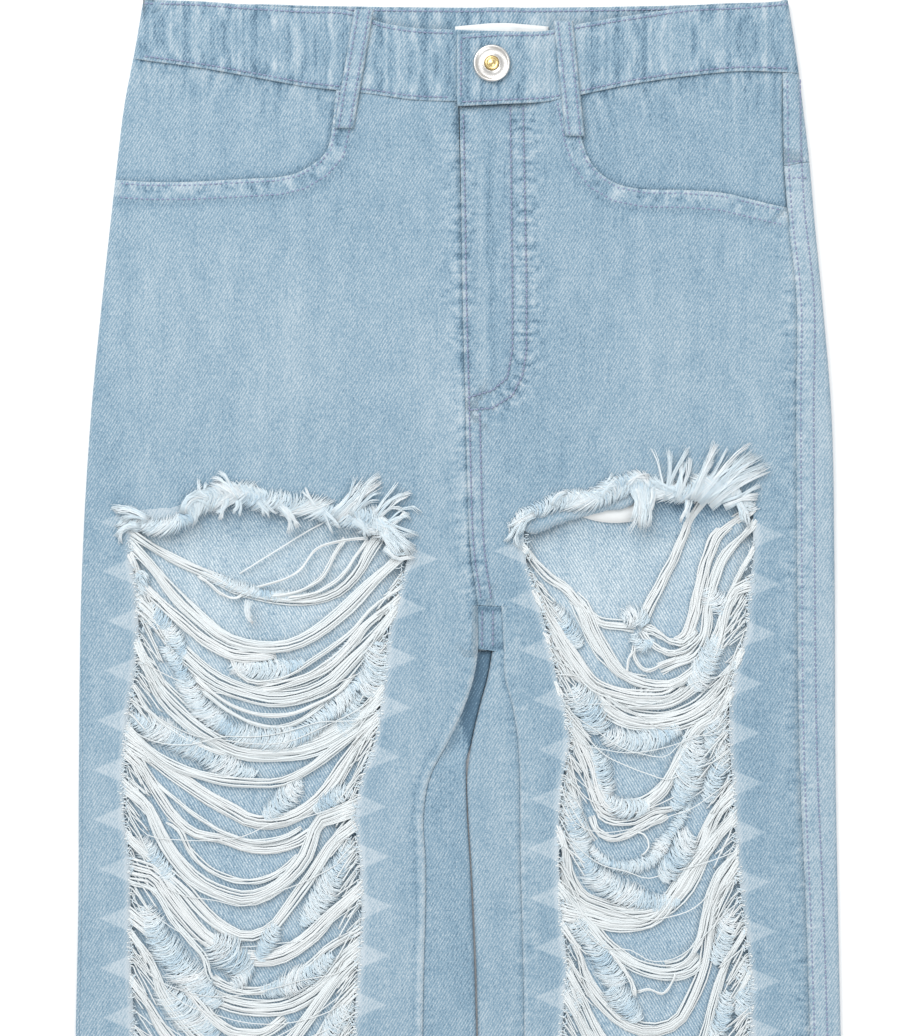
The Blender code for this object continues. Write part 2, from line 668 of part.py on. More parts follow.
def add_button(shell_finish, cap_finish):
    """Shank button on the tab: a disc with a raised rim, and its small bright cap."""
    x, y = 17.4, 1013.2
    # name, radius, thickness, gap below, finish
    parts = (("button", 9.6, 2.2, SEAM_GAP, shell_finish),
             ("button_cap", 3.6, 0.9, 2.2 + 2.0 * SEAM_GAP, cap_finish))
    for name, radius, tall, gap, finish in parts:
        bpy.ops.mesh.primitive_cylinder_add(vertices=32, radius=radius * MM, depth=tall * MM)
        made = bpy.context.active_object
        mesh = made.data.copy()
        bpy.data.objects.remove(made, do_unlink=True)
        piece = add_object(name, mesh, finish)
        piece.location = (x * MM, y * MM, (WAIST_HEIGHT + TAB_RISE + gap + tall / 2.0) * MM)
        bevel = piece.modifiers.new("rim", "BEVEL")
        bevel.width = 0.35 * MM
        bevel.segments = 2
        bevel.limit_method = "ANGLE"


remove_everything()
jeans = bpy.data.collections.new("ripped_jeans")
bpy.context.scene.collection.children.link(jeans)
origin = bpy.data.objects.new("jeans_origin", None)
jeans.objects.link(origin)
origin.location = (0.0, -LENGTH * MM / 2.0, 0.0)

add_front_right(material("front_right_denim", (0.40, 0.57, 0.72), 0.9))
add_front_left(material("front_left_denim", (0.40, 0.57, 0.72), 0.9))
add_back_right(material("back_right_denim", (0.37, 0.54, 0.70), 0.9))
add_back_left(material("back_left_denim", (0.37, 0.54, 0.70), 0.9))
add_yokes(material("yoke_denim", (0.38, 0.55, 0.71), 0.9))
add_facings(material("facing_denim", (0.36, 0.53, 0.69), 0.9))
add_bag(material("bag_cotton", (0.83, 0.85, 0.86), 0.95))
add_waistband(material("waist_denim", (0.42, 0.58, 0.72), 0.9))
add_label(material("label_cotton", (0.86, 0.86, 0.84), 0.9))
add_front_loops(material("front_loop_denim", (0.44, 0.60, 0.73), 0.9))
add_underside(material("underside_denim", (0.38, 0.55, 0.71), 0.9))
add_threads("rip_threads_R", 1, 2, 24.0, material("right_thread_cotton", (0.82, 0.86, 0.88), 0.95))
add_threads("rip_threads_L", 3, 4, 20.0, material("left_thread_cotton", (0.82, 0.86, 0.88), 0.95))
add_fringe("rip_fringe_R", TORN_RIGHT, 1, 2, material("right_tuft_cotton", (0.75, 0.82, 0.87), 0.95))
add_fringe("rip_fringe_L", TORN_LEFT, 3, 4, material("left_tuft_cotton", (0.75, 0.82, 0.87), 0.95))
add_button(material("button_steel", (0.70, 0.70, 0.69), 0.4, 1.0),
           material("cap_brass", (0.86, 0.70, 0.35), 0.3, 1.0))
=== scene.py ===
"""Ripped jeans laid flat: the looks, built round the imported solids.

Shapes are worked out in millimetres, with heights along the jeans measured up from the hem, and
become metres in the frame where a mesh is made.
"""

import bpy
import numpy as np
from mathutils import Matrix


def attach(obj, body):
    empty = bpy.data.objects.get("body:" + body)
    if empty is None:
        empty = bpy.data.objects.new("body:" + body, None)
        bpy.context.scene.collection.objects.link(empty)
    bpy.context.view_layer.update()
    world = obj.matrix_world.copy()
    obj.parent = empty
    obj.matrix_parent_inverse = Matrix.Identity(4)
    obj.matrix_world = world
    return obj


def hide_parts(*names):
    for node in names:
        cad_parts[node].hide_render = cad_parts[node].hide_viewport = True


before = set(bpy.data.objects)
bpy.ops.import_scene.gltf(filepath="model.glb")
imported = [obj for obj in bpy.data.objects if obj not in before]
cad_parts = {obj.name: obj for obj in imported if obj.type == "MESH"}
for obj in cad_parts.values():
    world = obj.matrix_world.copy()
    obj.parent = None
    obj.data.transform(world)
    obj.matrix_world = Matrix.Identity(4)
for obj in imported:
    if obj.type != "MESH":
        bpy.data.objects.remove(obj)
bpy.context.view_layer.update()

# Camera
# Straight over the jeans, with a long lens, framed as the photograph: from the waist to just
# above the knees. One pixel of it is 0.52 mm.
MM = 0.001
HALF_LENGTH = 523.4
FRAME_CENTRE_X, FRAME_CENTRE_Y = -4.2, 778.4
FRAME_TALL = 538.7
LENS, SENSOR = 100.0, 36.0

camera_data = bpy.data.cameras.new("overhead")
camera_data.lens = LENS
camera_data.sensor_fit = "VERTICAL"
camera_data.sensor_height = SENSOR
camera = bpy.data.objects.new("overhead", camera_data)
camera.location = (FRAME_CENTRE_X * MM, (FRAME_CENTRE_Y - HALF_LENGTH) * MM,
                   FRAME_TALL * MM * LENS / SENSOR)
bpy.context.scene.collection.objects.link(camera)
bpy.context.scene.camera = camera
bpy.context.scene.view_settings.view_transform = "Standard"

# Studio
# A pale floor, a broad soft light from the waist's side that lets seams and threads cast small
# shadows, and a weaker one that fills from the other side.
bpy.ops.mesh.primitive_plane_add(size=8.0, location=(0.0, 0.0, -0.0003))
floor = bpy.context.active_object
floor.name = "floor"
paper = bpy.data.materials.new("pale_paper")
paper.use_nodes = True
paper.node_tree.nodes["Principled BSDF"].inputs["Base Color"].default_value = (0.93, 0.93, 0.93, 1.0)
paper.node_tree.nodes["Principled BSDF"].inputs["Roughness"].default_value = 1.0
floor.data.materials.append(paper)

# name, place, size, watts
for name, place, size, watts in (("key", (-0.9, 1.7, 1.9), 2.2, 57.0),
                                 ("fill", (1.5, -1.2, 2.2), 2.0, 26.0)):
    lamp = bpy.data.lights.new(name, "AREA")
    lamp.size = size
    lamp.energy = watts
    lit = bpy.data.objects.new(name, lamp)
    lit.location = place
    aim = np.array([0.0, 0.1, 0.0]) - np.array(place)
    lit.rotation_euler = (np.arccos(-aim[2] / np.linalg.norm(aim)), 0.0,
                          np.arctan2(aim[1], aim[0]) - np.pi / 2.0)
    bpy.context.scene.collection.objects.link(lit)
world = bpy.data.worlds.new("studio")
world.use_nodes = True
world.node_tree.nodes["Background"].inputs["Color"].default_value = (1.0, 1.0, 1.0, 1.0)
world.node_tree.nodes["Background"].inputs["Strength"].default_value = 0.70
bpy.context.scene.world = world

# Front panels
# Washed light-blue cotton twill, one panel a leg from waistband to hem, each torn open over the
# thigh. Their upper outer corners are cut away in a scoop for the pocket.
DENIM_WALL = 1.2
LEG_HEIGHT, HIP_HEIGHT = 4.8, 6.4
# Heights of the crotch, of the top of the tab that covers it, and of the rips' lower ends
CROTCH, TAB_TOP, KNEE_END = 709.3, 733.0, 405.6

# height, right fold, left fold, left outseam
SIDES = np.array([
    (1046.8, -163.3, 171.1, 168.0), (1016.6, -168.5, 175.8, 168.2),
    (995.8, -172.6, 178.4, 168.4), (963.0, -176.8, 182.3, 169.0),
    (939.0, -179.5, 184.3, 170.4), (895.0, -184.3, 188.6, 175.2),
    (835.0, -190.2, 193.6, 175.2), (756.0, -195.0, 195.3, 175.8),
    (645.0, -196.9, 196.0, 177.5), (575.0, -197.2, 197.2, 180.5),
    (515.0, -198.5, 198.5, 182.4), (0.0, -203.0, 203.0, 185.6),
])
# height, x of the centre front
FRONT_CENTRE = np.array([
    (1010.0, 0.2), (939.0, 1.6), (895.0, 2.2), (835.0, 3.8), (808.0, 4.4), (756.0, 6.8),
    (735.0, 9.9), (709.3, 10.2),
])
# height, right inseam, right fold, left fold, left inseam
INNER_LEGS = np.array([
    (733.0, 10.0, 14.0, 17.7, 22.4), (709.3, 10.2, 14.0, 17.7, 23.7),
    (696.0, 8.1, 12.0, 15.5, 24.1), (680.0, 3.0, 8.3, 11.2, 28.4),
    (662.0, -5.4, 4.2, 7.2, 31.0), (645.0, -14.3, 4.1, 4.8, 32.0),
    (625.0, -18.0, 4.6, 5.2, 32.2), (600.0, -17.0, 6.1, 6.8, 32.4),
    (575.0, -17.0, 7.3, 8.1, 33.0), (545.0, -17.9, 8.5, 9.4, 33.8),
    (515.0, -18.4, 9.3, 10.2, 34.3), (0.0, -27.0, -9.0, 19.0, 37.0),
])
# height, right rip outer and inner edge, left rip inner and outer edge
RIP_EDGES = np.array([
    (925.0, -158.0, -42.0, 48.0, 155.0), (808.0, -169.0, -25.0, 31.0, 153.0),
    (756.0, -169.5, -26.5, 35.2, 152.8), (743.0, -166.4, -30.0, 39.6, 150.6),
    (720.0, -165.5, -36.0, 46.0, 149.5), (696.0, -167.6, -38.5, 51.3, 142.2),
    (680.0, -170.5, -40.3, 55.6, 140.6), (662.0, -172.3, -43.5, 58.4, 140.6),
    (645.0, -173.2, -50.0, 54.5, 142.0), (625.0, -173.3, -54.0, 52.6, 143.2),
    (600.0, -170.0, -51.0, 52.2, 144.5), (575.0, -169.8, -50.0, 53.5, 147.8),
    (545.0, -169.5, -52.0, 57.0, 151.3), (515.0, -168.0, -54.0, 54.0, 151.3),
    (405.6, -166.0, -56.0, 53.0, 150.0), (0.0, -166.0, -60.0, 62.0, 152.0),
])
# x, height of the torn upper edges
TORN = {
    "R": np.array([(-170.0, 773.8), (-146.0, 776.4), (-136.0, 781.2), (-126.0, 786.0),
                   (-108.0, 785.2), (-88.0, 781.2), (-70.0, 781.2), (-63.0, 776.4),
                   (-45.0, 771.2), (-24.0, 764.9)]),
    "L": np.array([(29.0, 772.2), (35.0, 769.5), (44.0, 771.5), (59.0, 777.5), (75.0, 781.5),
                   (89.0, 784.0), (96.0, 791.0), (105.0, 796.5), (125.0, 797.0), (146.0, 792.0),
                   (153.0, 783.0)]),
}
# x, height along each scoop, from the side to the waistband
SCOOP = {
    "R": np.array([(-175.5, 953.4), (-160.2, 952.4), (-139.4, 952.4), (-120.1, 953.4),
                   (-105.0, 954.2), (-93.1, 954.9), (-82.7, 957.3), (-73.3, 963.0),
                   (-67.6, 969.5), (-65.0, 981.4), (-63.2, 999.8)]),
    "L": np.array([(170.2, 939.0), (161.7, 940.9), (152.9, 943.0), (137.3, 946.7),
                   (118.0, 948.2), (97.2, 948.5), (83.2, 951.1), (73.8, 956.8),
                   (67.6, 964.6), (64.0, 975.0), (60.0, 996.5)]),
}
# x, upper edge, lower edge of the waistband's front parts and of its back
WAIST = {
    "R": np.array([(-168.0, 1046.8, 1016.1), (-133.0, 1045.8, 1011.4),
                   (-106.0, 1043.8, 1006.7), (-80.0, 1042.2, 1002.0), (-54.0, 1040.5, 999.0),
                   (-40.0, 1035.0, 997.3), (-27.0, 1032.6, 995.3), (-2.0, 1031.2, 994.1),
                   (32.0, 1030.2, 993.4)]),
    "L": np.array([(-0.5, 1028.3, 991.4), (20.0, 1029.7, 992.4), (47.0, 1030.8, 994.2),
                   (60.0, 1033.6, 996.8), (91.0, 1038.8, 1003.2), (120.0, 1042.9, 1007.4),
                   (147.0, 1044.3, 1009.8), (176.0, 1046.8, 1008.8)]),
    "back": np.array([(-168.0, 1046.8, 1016.1), (-80.0, 1044.5, 1010.0),
                      (22.0, 1043.4, 1007.7), (110.0, 1044.5, 1007.7),
                      (176.0, 1046.8, 1008.8)]),
}
# Fly: the J of its stitching, inner and outer row, as x, height
FLY_J = {
    "inner": np.array([(27.0, 992.0), (28.1, 900.0), (28.1, 865.3), (25.5, 851.0),
                       (17.7, 844.5), (4.7, 840.6)]),
    "outer": np.array([(33.6, 992.0), (35.4, 900.0), (35.4, 865.3), (33.3, 852.3),
                       (28.1, 841.9), (17.7, 835.4), (4.7, 834.1)]),
}
# Soft folds: x and height of the upper end, the same of the lower end, half width, rise
SOFT_FOLDS = (
    (3.0, 990.0, 8.0, 740.0, 6.0, 0.9), (33.0, 985.0, 30.0, 840.0, 7.0, 0.8),
    (98.0, 905.0, 106.0, 815.0, 12.0, 1.1), (-92.0, 905.0, -84.0, 815.0, 14.0, 0.8),
    (-28.0, 720.0, -30.0, 600.0, 7.0, 0.7), (40.0, 700.0, 44.0, 560.0, 6.0, 0.6),
    (14.0, 975.0, 16.0, 850.0, 4.5, -0.5), (45.0, 960.0, 60.0, 820.0, 10.0, 0.5),
    (-20.0, 940.0, -34.0, 800.0, 11.0, 0.5), (150.0, 920.0, 158.0, 800.0, 9.0, 0.4),
    (-150.0, 930.0, -160.0, 810.0, 10.0, 0.4), (70.0, 380.0, 150.0, 250.0, 18.0, 0.8),
    (-150.0, 360.0, -60.0, 230.0, 18.0, 0.8), (-110.0, 180.0, -80.0, 40.0, 16.0, 0.6),
    (120.0, 170.0, 90.0, 40.0, 16.0, 0.6),
)
# Areas that wear and washing made paler: x, height, half width, half height, gain
WORN_AREAS = (
    (-100.0, 880.0, 70.0, 70.0, 0.08), (-6.0, 822.0, 17.0, 75.0, 0.10),
    (135.0, 850.0, 36.0, 52.0, 0.12), (-158.0, 880.0, 22.0, 85.0, 0.06),
)
# Painted shadows on the inner face under the torn edges: the same columns
PAINTED_SHADOW_PATCHES = {"R": ((-98.0, 783.0, 60.0, 14.0, -0.22),),
                  "L": ((124.0, 789.0, 26.0, 13.0, -0.52), (80.0, 777.0, 40.0, 14.0, -0.14))}
# Bands along a line, paler or deeper: distance from it, half width, paleness, rise
SCOOP_BANDS = ((0.0, 1.4, 0.24, 0.0), (11.5, 2.2, -0.12, 0.0))
INSEAM_BANDS = {"R": ((-1.0, 1.6, 0.36, 0.3), (-4.6, 1.5, -0.16, -0.25)),
                "L": ((0.6, 1.0, 0.30, 0.0), (5.5, 2.6, 0.10, 0.35))}
# Columns of the tables above: each front's inseam, and the left and right side of each rip
INSEAM = {"R": 1, "L": 4}
RIP_SIDES = {"R": (1, 2), "L": (3, 4)}
# Height under which the bands along each inseam show
INSEAM_TOP = {"R": 725.0, "L": TAB_TOP}
# Rows of paler points beside each rip: height of the first on its outer and on its inner side
POINT_FIRST = {"R": (776.4, 757.2), "L": (769.7, 761.3)}
POINT_PITCH, POINT_LONG, POINT_HALF = 25.7, 16.0, 6.9
# A distance from a rip at which nothing of it shows
FAR = 90.0


def follow(table, at, column=1):
    """A table's column as a smooth curve: cubic pieces whose slopes are those of its neighbours."""
    order = np.argsort(table[:, 0])
    xs, values = table[order, 0], table[order, column]
    at = np.clip(np.asarray(at, float), xs[0], xs[-1])
    slopes = np.gradient(values, xs)
    left = np.clip(np.searchsorted(xs, at, side="right") - 1, 0, len(xs) - 2)
    width = xs[left + 1] - xs[left]
    t = (at - xs[left]) / width
    rise = t * t * (3.0 - 2.0 * t)
    return (values[left] * (1.0 - rise) + values[left + 1] * rise
            + width * slopes[left] * t * (1.0 - t) ** 2 - width * slopes[left + 1] * t * t * (1.0 - t))


def straight(table, at, column=1):
    """A table's column, straight between its rows."""
    order = np.argsort(table[:, 0])
    return np.interp(at, table[order, 0], table[order, column])


def ease(value, low, high):
    """Smooth step: 0 below low, 1 above high, an S between."""
    t = np.clip((np.asarray(value, float) - low) / (high - low), 0.0, 1.0)
    return t * t * (3.0 - 2.0 * t)


def bell(away, wide, power=2):
    """Bell of a distance: 1 at none, 0.37 at its width, and flatter on top with a higher power."""
    return np.exp(-(away / wide) ** power)


def line_of(table, column):
    """A table's column as a line of x, height."""
    return np.stack([table[:, column], table[:, 0]], axis=1)


def stack_height(y):
    """Height of the flat stack of layers: the legs', easing up to the hips'."""
    return LEG_HEIGHT + (HIP_HEIGHT - LEG_HEIGHT) * ease(y, 690.0, 800.0)


def ripple(s, seed=0.0):
    """Uneven wave along a seam: four sines of unlike lengths, from about -1 to 1."""
    return (np.sin(s / 1.45 + seed) + 0.8 * np.sin(s / 2.3 + 2.1 * seed)
            + 0.7 * np.sin(s / 0.93 + 0.7 * seed) + 0.6 * np.sin(s / 4.9 + 1.3 * seed)) / 2.4


def soft_folds(x, y):
    """Rise of the soft folds: a bell across each line, faded at both its ends."""
    total = np.zeros(np.broadcast(x, y).shape)
    for x0, y0, x1, y1, half, rise in SOFT_FOLDS:
        t = np.clip((y0 - y) / (y0 - y1), 0.0, 1.0)
        total += rise * bell(x - (x0 + (x1 - x0) * t), half) * np.sin(np.pi * t) ** 0.5
    return total


def patches(table, x, y):
    """Paleness of a table of patches: a bell in both directions for each."""
    return sum(gain * bell(x - x0, wide) * bell(y - y0, tall) for x0, y0, wide, tall, gain in table)


def bands(table, away):
    """Paleness and rise of a table of bands, at a distance from their line."""
    return (sum(pale * bell(away - at, wide) for at, wide, pale, _ in table),
            sum(rise * bell(away - at, wide) for at, wide, _, rise in table))


def beside(x, y, line):
    """Distance of each point to a line of straight runs, and how far along the line it lies."""
    runs = np.diff(line, axis=0)
    lengths = np.hypot(runs[:, 0], runs[:, 1])
    starts = np.concatenate([[0.0], np.cumsum(lengths)])
    best = np.full(np.shape(x), 1e9)
    along = np.zeros(np.shape(x))
    for (px, py), (rx, ry), length, start in zip(line[:-1], runs, lengths, starts):
        t = np.clip(((x - px) * rx + (y - py) * ry) / length ** 2, 0.0, 1.0)
        away = np.hypot(x - px - t * rx, y - py - t * ry)
        closer = away < best
        best = np.where(closer, away, best)
        along = np.where(closer, start + t * length, along)
    return best, along


def make_mesh(name, points, faces, values=None):
    """Object at the origin from points in millimetres, faces and named values per point.

    The faces are one array, or a list of arrays where some have more corners than others.
    """
    placed = (points - np.array([0.0, HALF_LENGTH, 0.0])) * MM
    mesh = bpy.data.meshes.new(name)
    groups = faces if isinstance(faces, list) else [faces]
    corners = np.concatenate([group.ravel() for group in groups]).astype(np.int32)
    sizes = np.concatenate([np.full(len(group), group.shape[1]) for group in groups])
    mesh.vertices.add(len(placed))
    mesh.vertices.foreach_set("co", placed.ravel())
    mesh.loops.add(len(corners))
    mesh.loops.foreach_set("vertex_index", corners)
    mesh.polygons.add(len(sizes))
    mesh.polygons.foreach_set("loop_start", (np.cumsum(sizes) - sizes).astype(np.int32))
    for key, value in (values or {}).items():
        layer = mesh.attributes.new(key, "FLOAT", "POINT")
        layer.data.foreach_set("value", np.asarray(value, np.float32).ravel())
    mesh.update(calc_edges=True)
    mesh.validate()
    mesh.shade_smooth()
    made = bpy.data.objects.new(name, mesh)
    bpy.context.scene.collection.objects.link(made)
    return made


def cloth(name, points, wall, finishes, values, keep=None, nodes=()):
    """Sheet of cloth from a grid of its outer points, with its wall on the inner side.

    Rows run down from the waist and columns clockwise seen from the hem. The flat size is the
    longest row and column of the grid, and the area is that of its cells.
    """
    rows, columns = points.shape[:2]
    index = np.arange(rows * columns).reshape(rows, columns)
    cells = np.stack([index[:-1, :-1], index[1:, :-1], index[1:, 1:], index[:-1, 1:]], axis=-1)
    kept = np.ones((rows - 1, columns - 1), bool) if keep is None else keep
    faces = cells[kept]
    used = np.zeros(rows * columns, bool)
    used[faces.ravel()] = True
    renumber = np.cumsum(used) - 1
    flat = points.reshape(-1, 3)
    corners = flat[faces]
    area = 0.5 * np.linalg.norm(np.cross(corners[:, 2] - corners[:, 0],
                                         corners[:, 3] - corners[:, 1]), axis=1).sum() * MM * MM
    across = np.linalg.norm(np.diff(points, axis=1), axis=2)
    down = np.linalg.norm(np.diff(points, axis=0), axis=2)
    wide = (across * np.concatenate([kept, kept[-1:]])).sum(axis=1).max() * MM
    long = (down * np.concatenate([kept, kept[:, -1:]], axis=1)).sum(axis=0).max() * MM
    made = make_mesh(name, flat[used], renumber[faces],
                     {key: np.broadcast_to(value, (rows, columns)).ravel()[used]
                      for key, value in values.items()})
    for finish in finishes:
        made.data.materials.append(finish)
    solid = made.modifiers.new("wall", "SOLIDIFY")
    solid.thickness = wall * MM
    solid.offset = -1.0
    solid.use_even_offset = True
    if len(finishes) > 1:
        solid.material_offset = 1
    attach(made, "root")
    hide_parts(*nodes)
    area = min(area, wide * long)
    return made


class Field:
    """A shader value. Arithmetic on it adds Math nodes to its material."""

    def __init__(self, finish, socket):
        self.finish, self.socket = finish, socket

    def math(self, operation, *others):
        """One Math node on this value and the others."""
        return self.finish.node("ShaderNodeMath", {"operation": operation}, (self, *others))

    def __add__(self, other):
        return self.math("ADD", other)

    __radd__ = __add__

    def __mul__(self, other):
        return self.math("MULTIPLY", other)

    __rmul__ = __mul__

    def __sub__(self, other):
        return self.math("SUBTRACT", other)

    def __rsub__(self, other):
        return self.finish.node("ShaderNodeMath", {"operation": "SUBTRACT"}, (other, self))

    def __truediv__(self, other):
        return self.math("DIVIDE", other)

    def __lt__(self, other):
        return self.math("LESS_THAN", other)

    def __gt__(self, other):
        return self.math("GREATER_THAN", other)

    def floor(self):
        return self.math("FLOOR")

    def fraction(self):
        return self.math("FRACT")

    def size(self):
        return self.math("ABSOLUTE")

    def clamped(self):
        return self.finish.node("ShaderNodeClamp", {}, (self,))


class Finish:
    """A material under construction: node() makes any node, and lit() sets the shader."""

    def __init__(self, name, roughness=0.9, metallic=0.0, sheen=0.0):
        self.material = bpy.data.materials.new(name)
        self.material.use_nodes = True
        self.tree = self.material.node_tree
        self.shader = self.tree.nodes["Principled BSDF"]
        self.shader.inputs["Roughness"].default_value = roughness
        self.shader.inputs["Metallic"].default_value = metallic
        self.shader.inputs["Sheen Weight"].default_value = sheen

    def node(self, kind, settings, inputs=(), output=0):
        """A node: its settings first, then each input socket's value or link, by place or name."""
        made = self.tree.nodes.new(kind)
        for key, value in settings.items():
            setattr(made, key, value)
        pairs = inputs.items() if isinstance(inputs, dict) else enumerate(inputs)
        for key, value in pairs:
            if isinstance(value, Field):
                self.tree.links.new(value.socket, made.inputs[key])
            else:
                made.inputs[key].default_value = value
        return Field(self, made.outputs[output])

    def place(self):
        """Object coordinates in millimetres: the vector, x and y."""
        at = self.node("ShaderNodeTexCoord", {}, (), "Object")
        at = self.node("ShaderNodeVectorMath", {"operation": "SCALE"}, {0: at, "Scale": 1.0 / MM})
        split = self.tree.nodes.new("ShaderNodeSeparateXYZ")
        self.tree.links.new(at.socket, split.inputs[0])
        return at, Field(self, split.outputs[0]), Field(self, split.outputs[1])

    def noise(self, at, stretch, detail=2.0):
        """Noise from about -1 to 1, on coordinates in millimetres times a stretch per axis."""
        scaled = self.node("ShaderNodeVectorMath", {"operation": "MULTIPLY"}, (at, stretch))
        raw = self.node("ShaderNodeTexNoise", {}, {"Vector": scaled, "Scale": 1.0, "Detail": detail,
                                                  "Roughness": 0.6})
        return (raw - 0.5) * 3.0

    def ramp(self, stops, level):
        """The colour at a level from 0 to 1, between stops of place and colour."""
        made = self.node("ShaderNodeValToRGB", {}, (level,))
        elements = made.socket.node.color_ramp.elements
        while len(elements) < len(stops):
            elements.new(0.5)
        for element, (place, colour) in zip(elements, stops):
            element.position = place
            element.color = (*colour, 1.0)
        return made

    def value(self, name):
        """A named value that the mesh carries per point."""
        return self.node("ShaderNodeAttribute", {"attribute_name": name}, (), "Fac")

    def lit(self, colour, bump=None, depth=0.0001, strength=0.6):
        """Link the colour, and a bump where there is one."""
        self.tree.links.new(colour.socket, self.shader.inputs["Base Color"])
        if bump is not None:
            raised = self.node("ShaderNodeBump", {}, {"Height": bump, "Strength": strength,
                                                     "Distance": depth}, "Normal")
            self.tree.links.new(raised.socket, self.shader.inputs["Normal"])
        return self.material


WARP_PITCH, WEFT_PITCH = 0.39, 0.65
DENIM_STOPS = ((0.0, (0.072, 0.138, 0.205)), (0.30, (0.17, 0.28, 0.375)),
               (0.55, (0.26, 0.365, 0.445)), (1.0, (0.49, 0.56, 0.61)))
INNER_STOPS = ((0.0, (0.085, 0.16, 0.235)), (0.30, (0.215, 0.33, 0.43)),
               (0.55, (0.35, 0.45, 0.52)), (1.0, (0.69, 0.75, 0.78)))


def twill(name, stops, lean, contrast, tone, points=False):
    """Washed twill: warp yarns up and down, with the pale weft over each fourth one in diagonals.

    lean is 1 where the diagonals run up to the right. The mesh's values change it: fading and painted
    shade make it paler or deeper, pucker weighs the creases that a seam draws into it, seam_along is
    how far along its seam a point lies, and points adds the faded rows beside a rip.
    """
    finish = Finish(name, roughness=0.92, sheen=0.12)
    at, x, y = finish.place()
    warp, weft = x / WARP_PITCH, y / WEFT_PITCH
    crossing = ((warp.floor() - lean * weft.floor()) / 4.0 + 0.01).fraction() < 0.25
    rib = 1.0 - (((warp - lean * weft) / 4.0 + 0.5).fraction() - 0.5).size() * 4.0
    slubs = finish.noise(at, (2.0, 1.1, 0.0), detail=1.0)
    flecks = finish.noise(at, (0.85, 0.45, 0.0))
    streaks = finish.noise(at, (1.6, 0.05, 0.0))
    bands = finish.noise(at, (0.10, 0.012, 0.0), detail=3.0)
    mottle = finish.noise(at, (0.12, 0.07, 0.0), detail=3.0)
    wash = finish.noise(at, (0.018, 0.011, 0.0), detail=1.0)
    worn = 0.85 + mottle * 0.45
    weave = (rib * 0.14 + (crossing - 0.25) * 0.22) * (worn + slubs * 1.1) * contrast
    grain = finish.noise(at, (2.9, 1.7, 0.0), detail=1.0)
    level = weave + grain * 0.18 + slubs * 0.24 + flecks * 0.27 + streaks * 0.12
    level = level + bands * 0.08 + mottle * 0.12 + wash * 0.08
    level = level + finish.value("fade_and_painted_shade") + tone
    pucker = finish.value("pucker")
    crossways = finish.node("ShaderNodeCombineXYZ", {}, (finish.value("seam_along"), pucker))
    creases = finish.noise(crossways, (0.28, 2.1, 0.0), detail=3.0) * pucker
    level = level + creases * 0.75
    if points:
        away = finish.value("rip_away")
        ragged = slubs * 0.9 + flecks * 0.8
        turn = ((finish.value("rip_turn") + 0.5).fraction() - 0.5).size() * POINT_PITCH
        inside = (turn + ragged < (1.0 - away / POINT_LONG) * POINT_HALF) * (away > -3.0)
        frayed = (1.25 - (away + ragged * 1.4) / 3.2).clamped() * (away < 60.0)
        level = level + inside * 0.26 + frayed * 0.36
    colour = finish.ramp(stops, level.clamped())
    relief = rib * 0.06 + crossing * 0.12 + slubs * 0.12 + creases * 1.2
    return finish.lit(colour, relief, depth=0.0006, strength=0.55)


DENIM = twill("washed_denim", DENIM_STOPS, 1.0, 1.0, 0.50)
DENIM_POINTS = twill("washed_denim_by_rip", DENIM_STOPS, 1.0, 1.0, 0.50, points=True)
DENIM_INNER = twill("denim_inner_face", INNER_STOPS, -1.0, 1.5, 0.56)

SEAM_LAP = 0.25
COLUMNS_SIDE, COLUMNS_RIP, COLUMNS_CENTRE = 7, 36, 14
HIP_LINE, OVER_RIP, UNDER_TORN = 925.0, 808.0, 756.0
STRAIGHT_ROWS = np.concatenate([
    np.arange(HIP_LINE, OVER_RIP - 0.1, -3.9), [None],
    np.arange(UNDER_TORN, 734.0, -3.8), [733.2, 732.6], np.arange(729.0, 509.0, -3.8),
    np.arange(509.0, KNEE_END + 1.0, -5.0), [KNEE_END], np.arange(399.0, 12.5, -6.2),
    [12.5, 11.0, 5.0, 0.0]])


def right_inner_edge(y):
    """Front panel's inner edge, wearer's right: centre front, then inseam."""
    return np.where(y >= CROTCH, follow(FRONT_CENTRE, y), follow(INNER_LEGS, y, 1))


def left_inner_edge(y):
    """Front panel's inner edge, wearer's left: centre front, then inseam."""
    return np.where(y >= TAB_TOP, follow(FRONT_CENTRE, y) + 0.05, follow(INNER_LEGS, y, 4))


def outseam_angle(y):
    """Where the right outseam lies on the side fold: at its side on the hip, on top by the knee."""
    return np.radians(92.0 + 80.0 * ease(y, 650.0, 770.0))


def row_across(side, outer_y, inner_y):
    """x of a front panel's columns at one height: side part, rip part and centre part."""
    if side == "R":
        outer, inner = straight(RIP_EDGES, outer_y, 1), straight(RIP_EDGES, inner_y, 2)
        start = follow(SIDES, outer_y, 1) + stack_height(outer_y) / 2.0
        end = right_inner_edge(inner_y)
    else:
        outer, inner = straight(RIP_EDGES, outer_y, 4), straight(RIP_EDGES, inner_y, 3)
        start, end = follow(SIDES, outer_y, 3), left_inner_edge(inner_y)
    return np.concatenate([np.linspace(start, outer, COLUMNS_SIDE, endpoint=False),
                           np.linspace(outer, inner, COLUMNS_RIP, endpoint=False),
                           np.linspace(inner, end, COLUMNS_CENTRE + 1)])


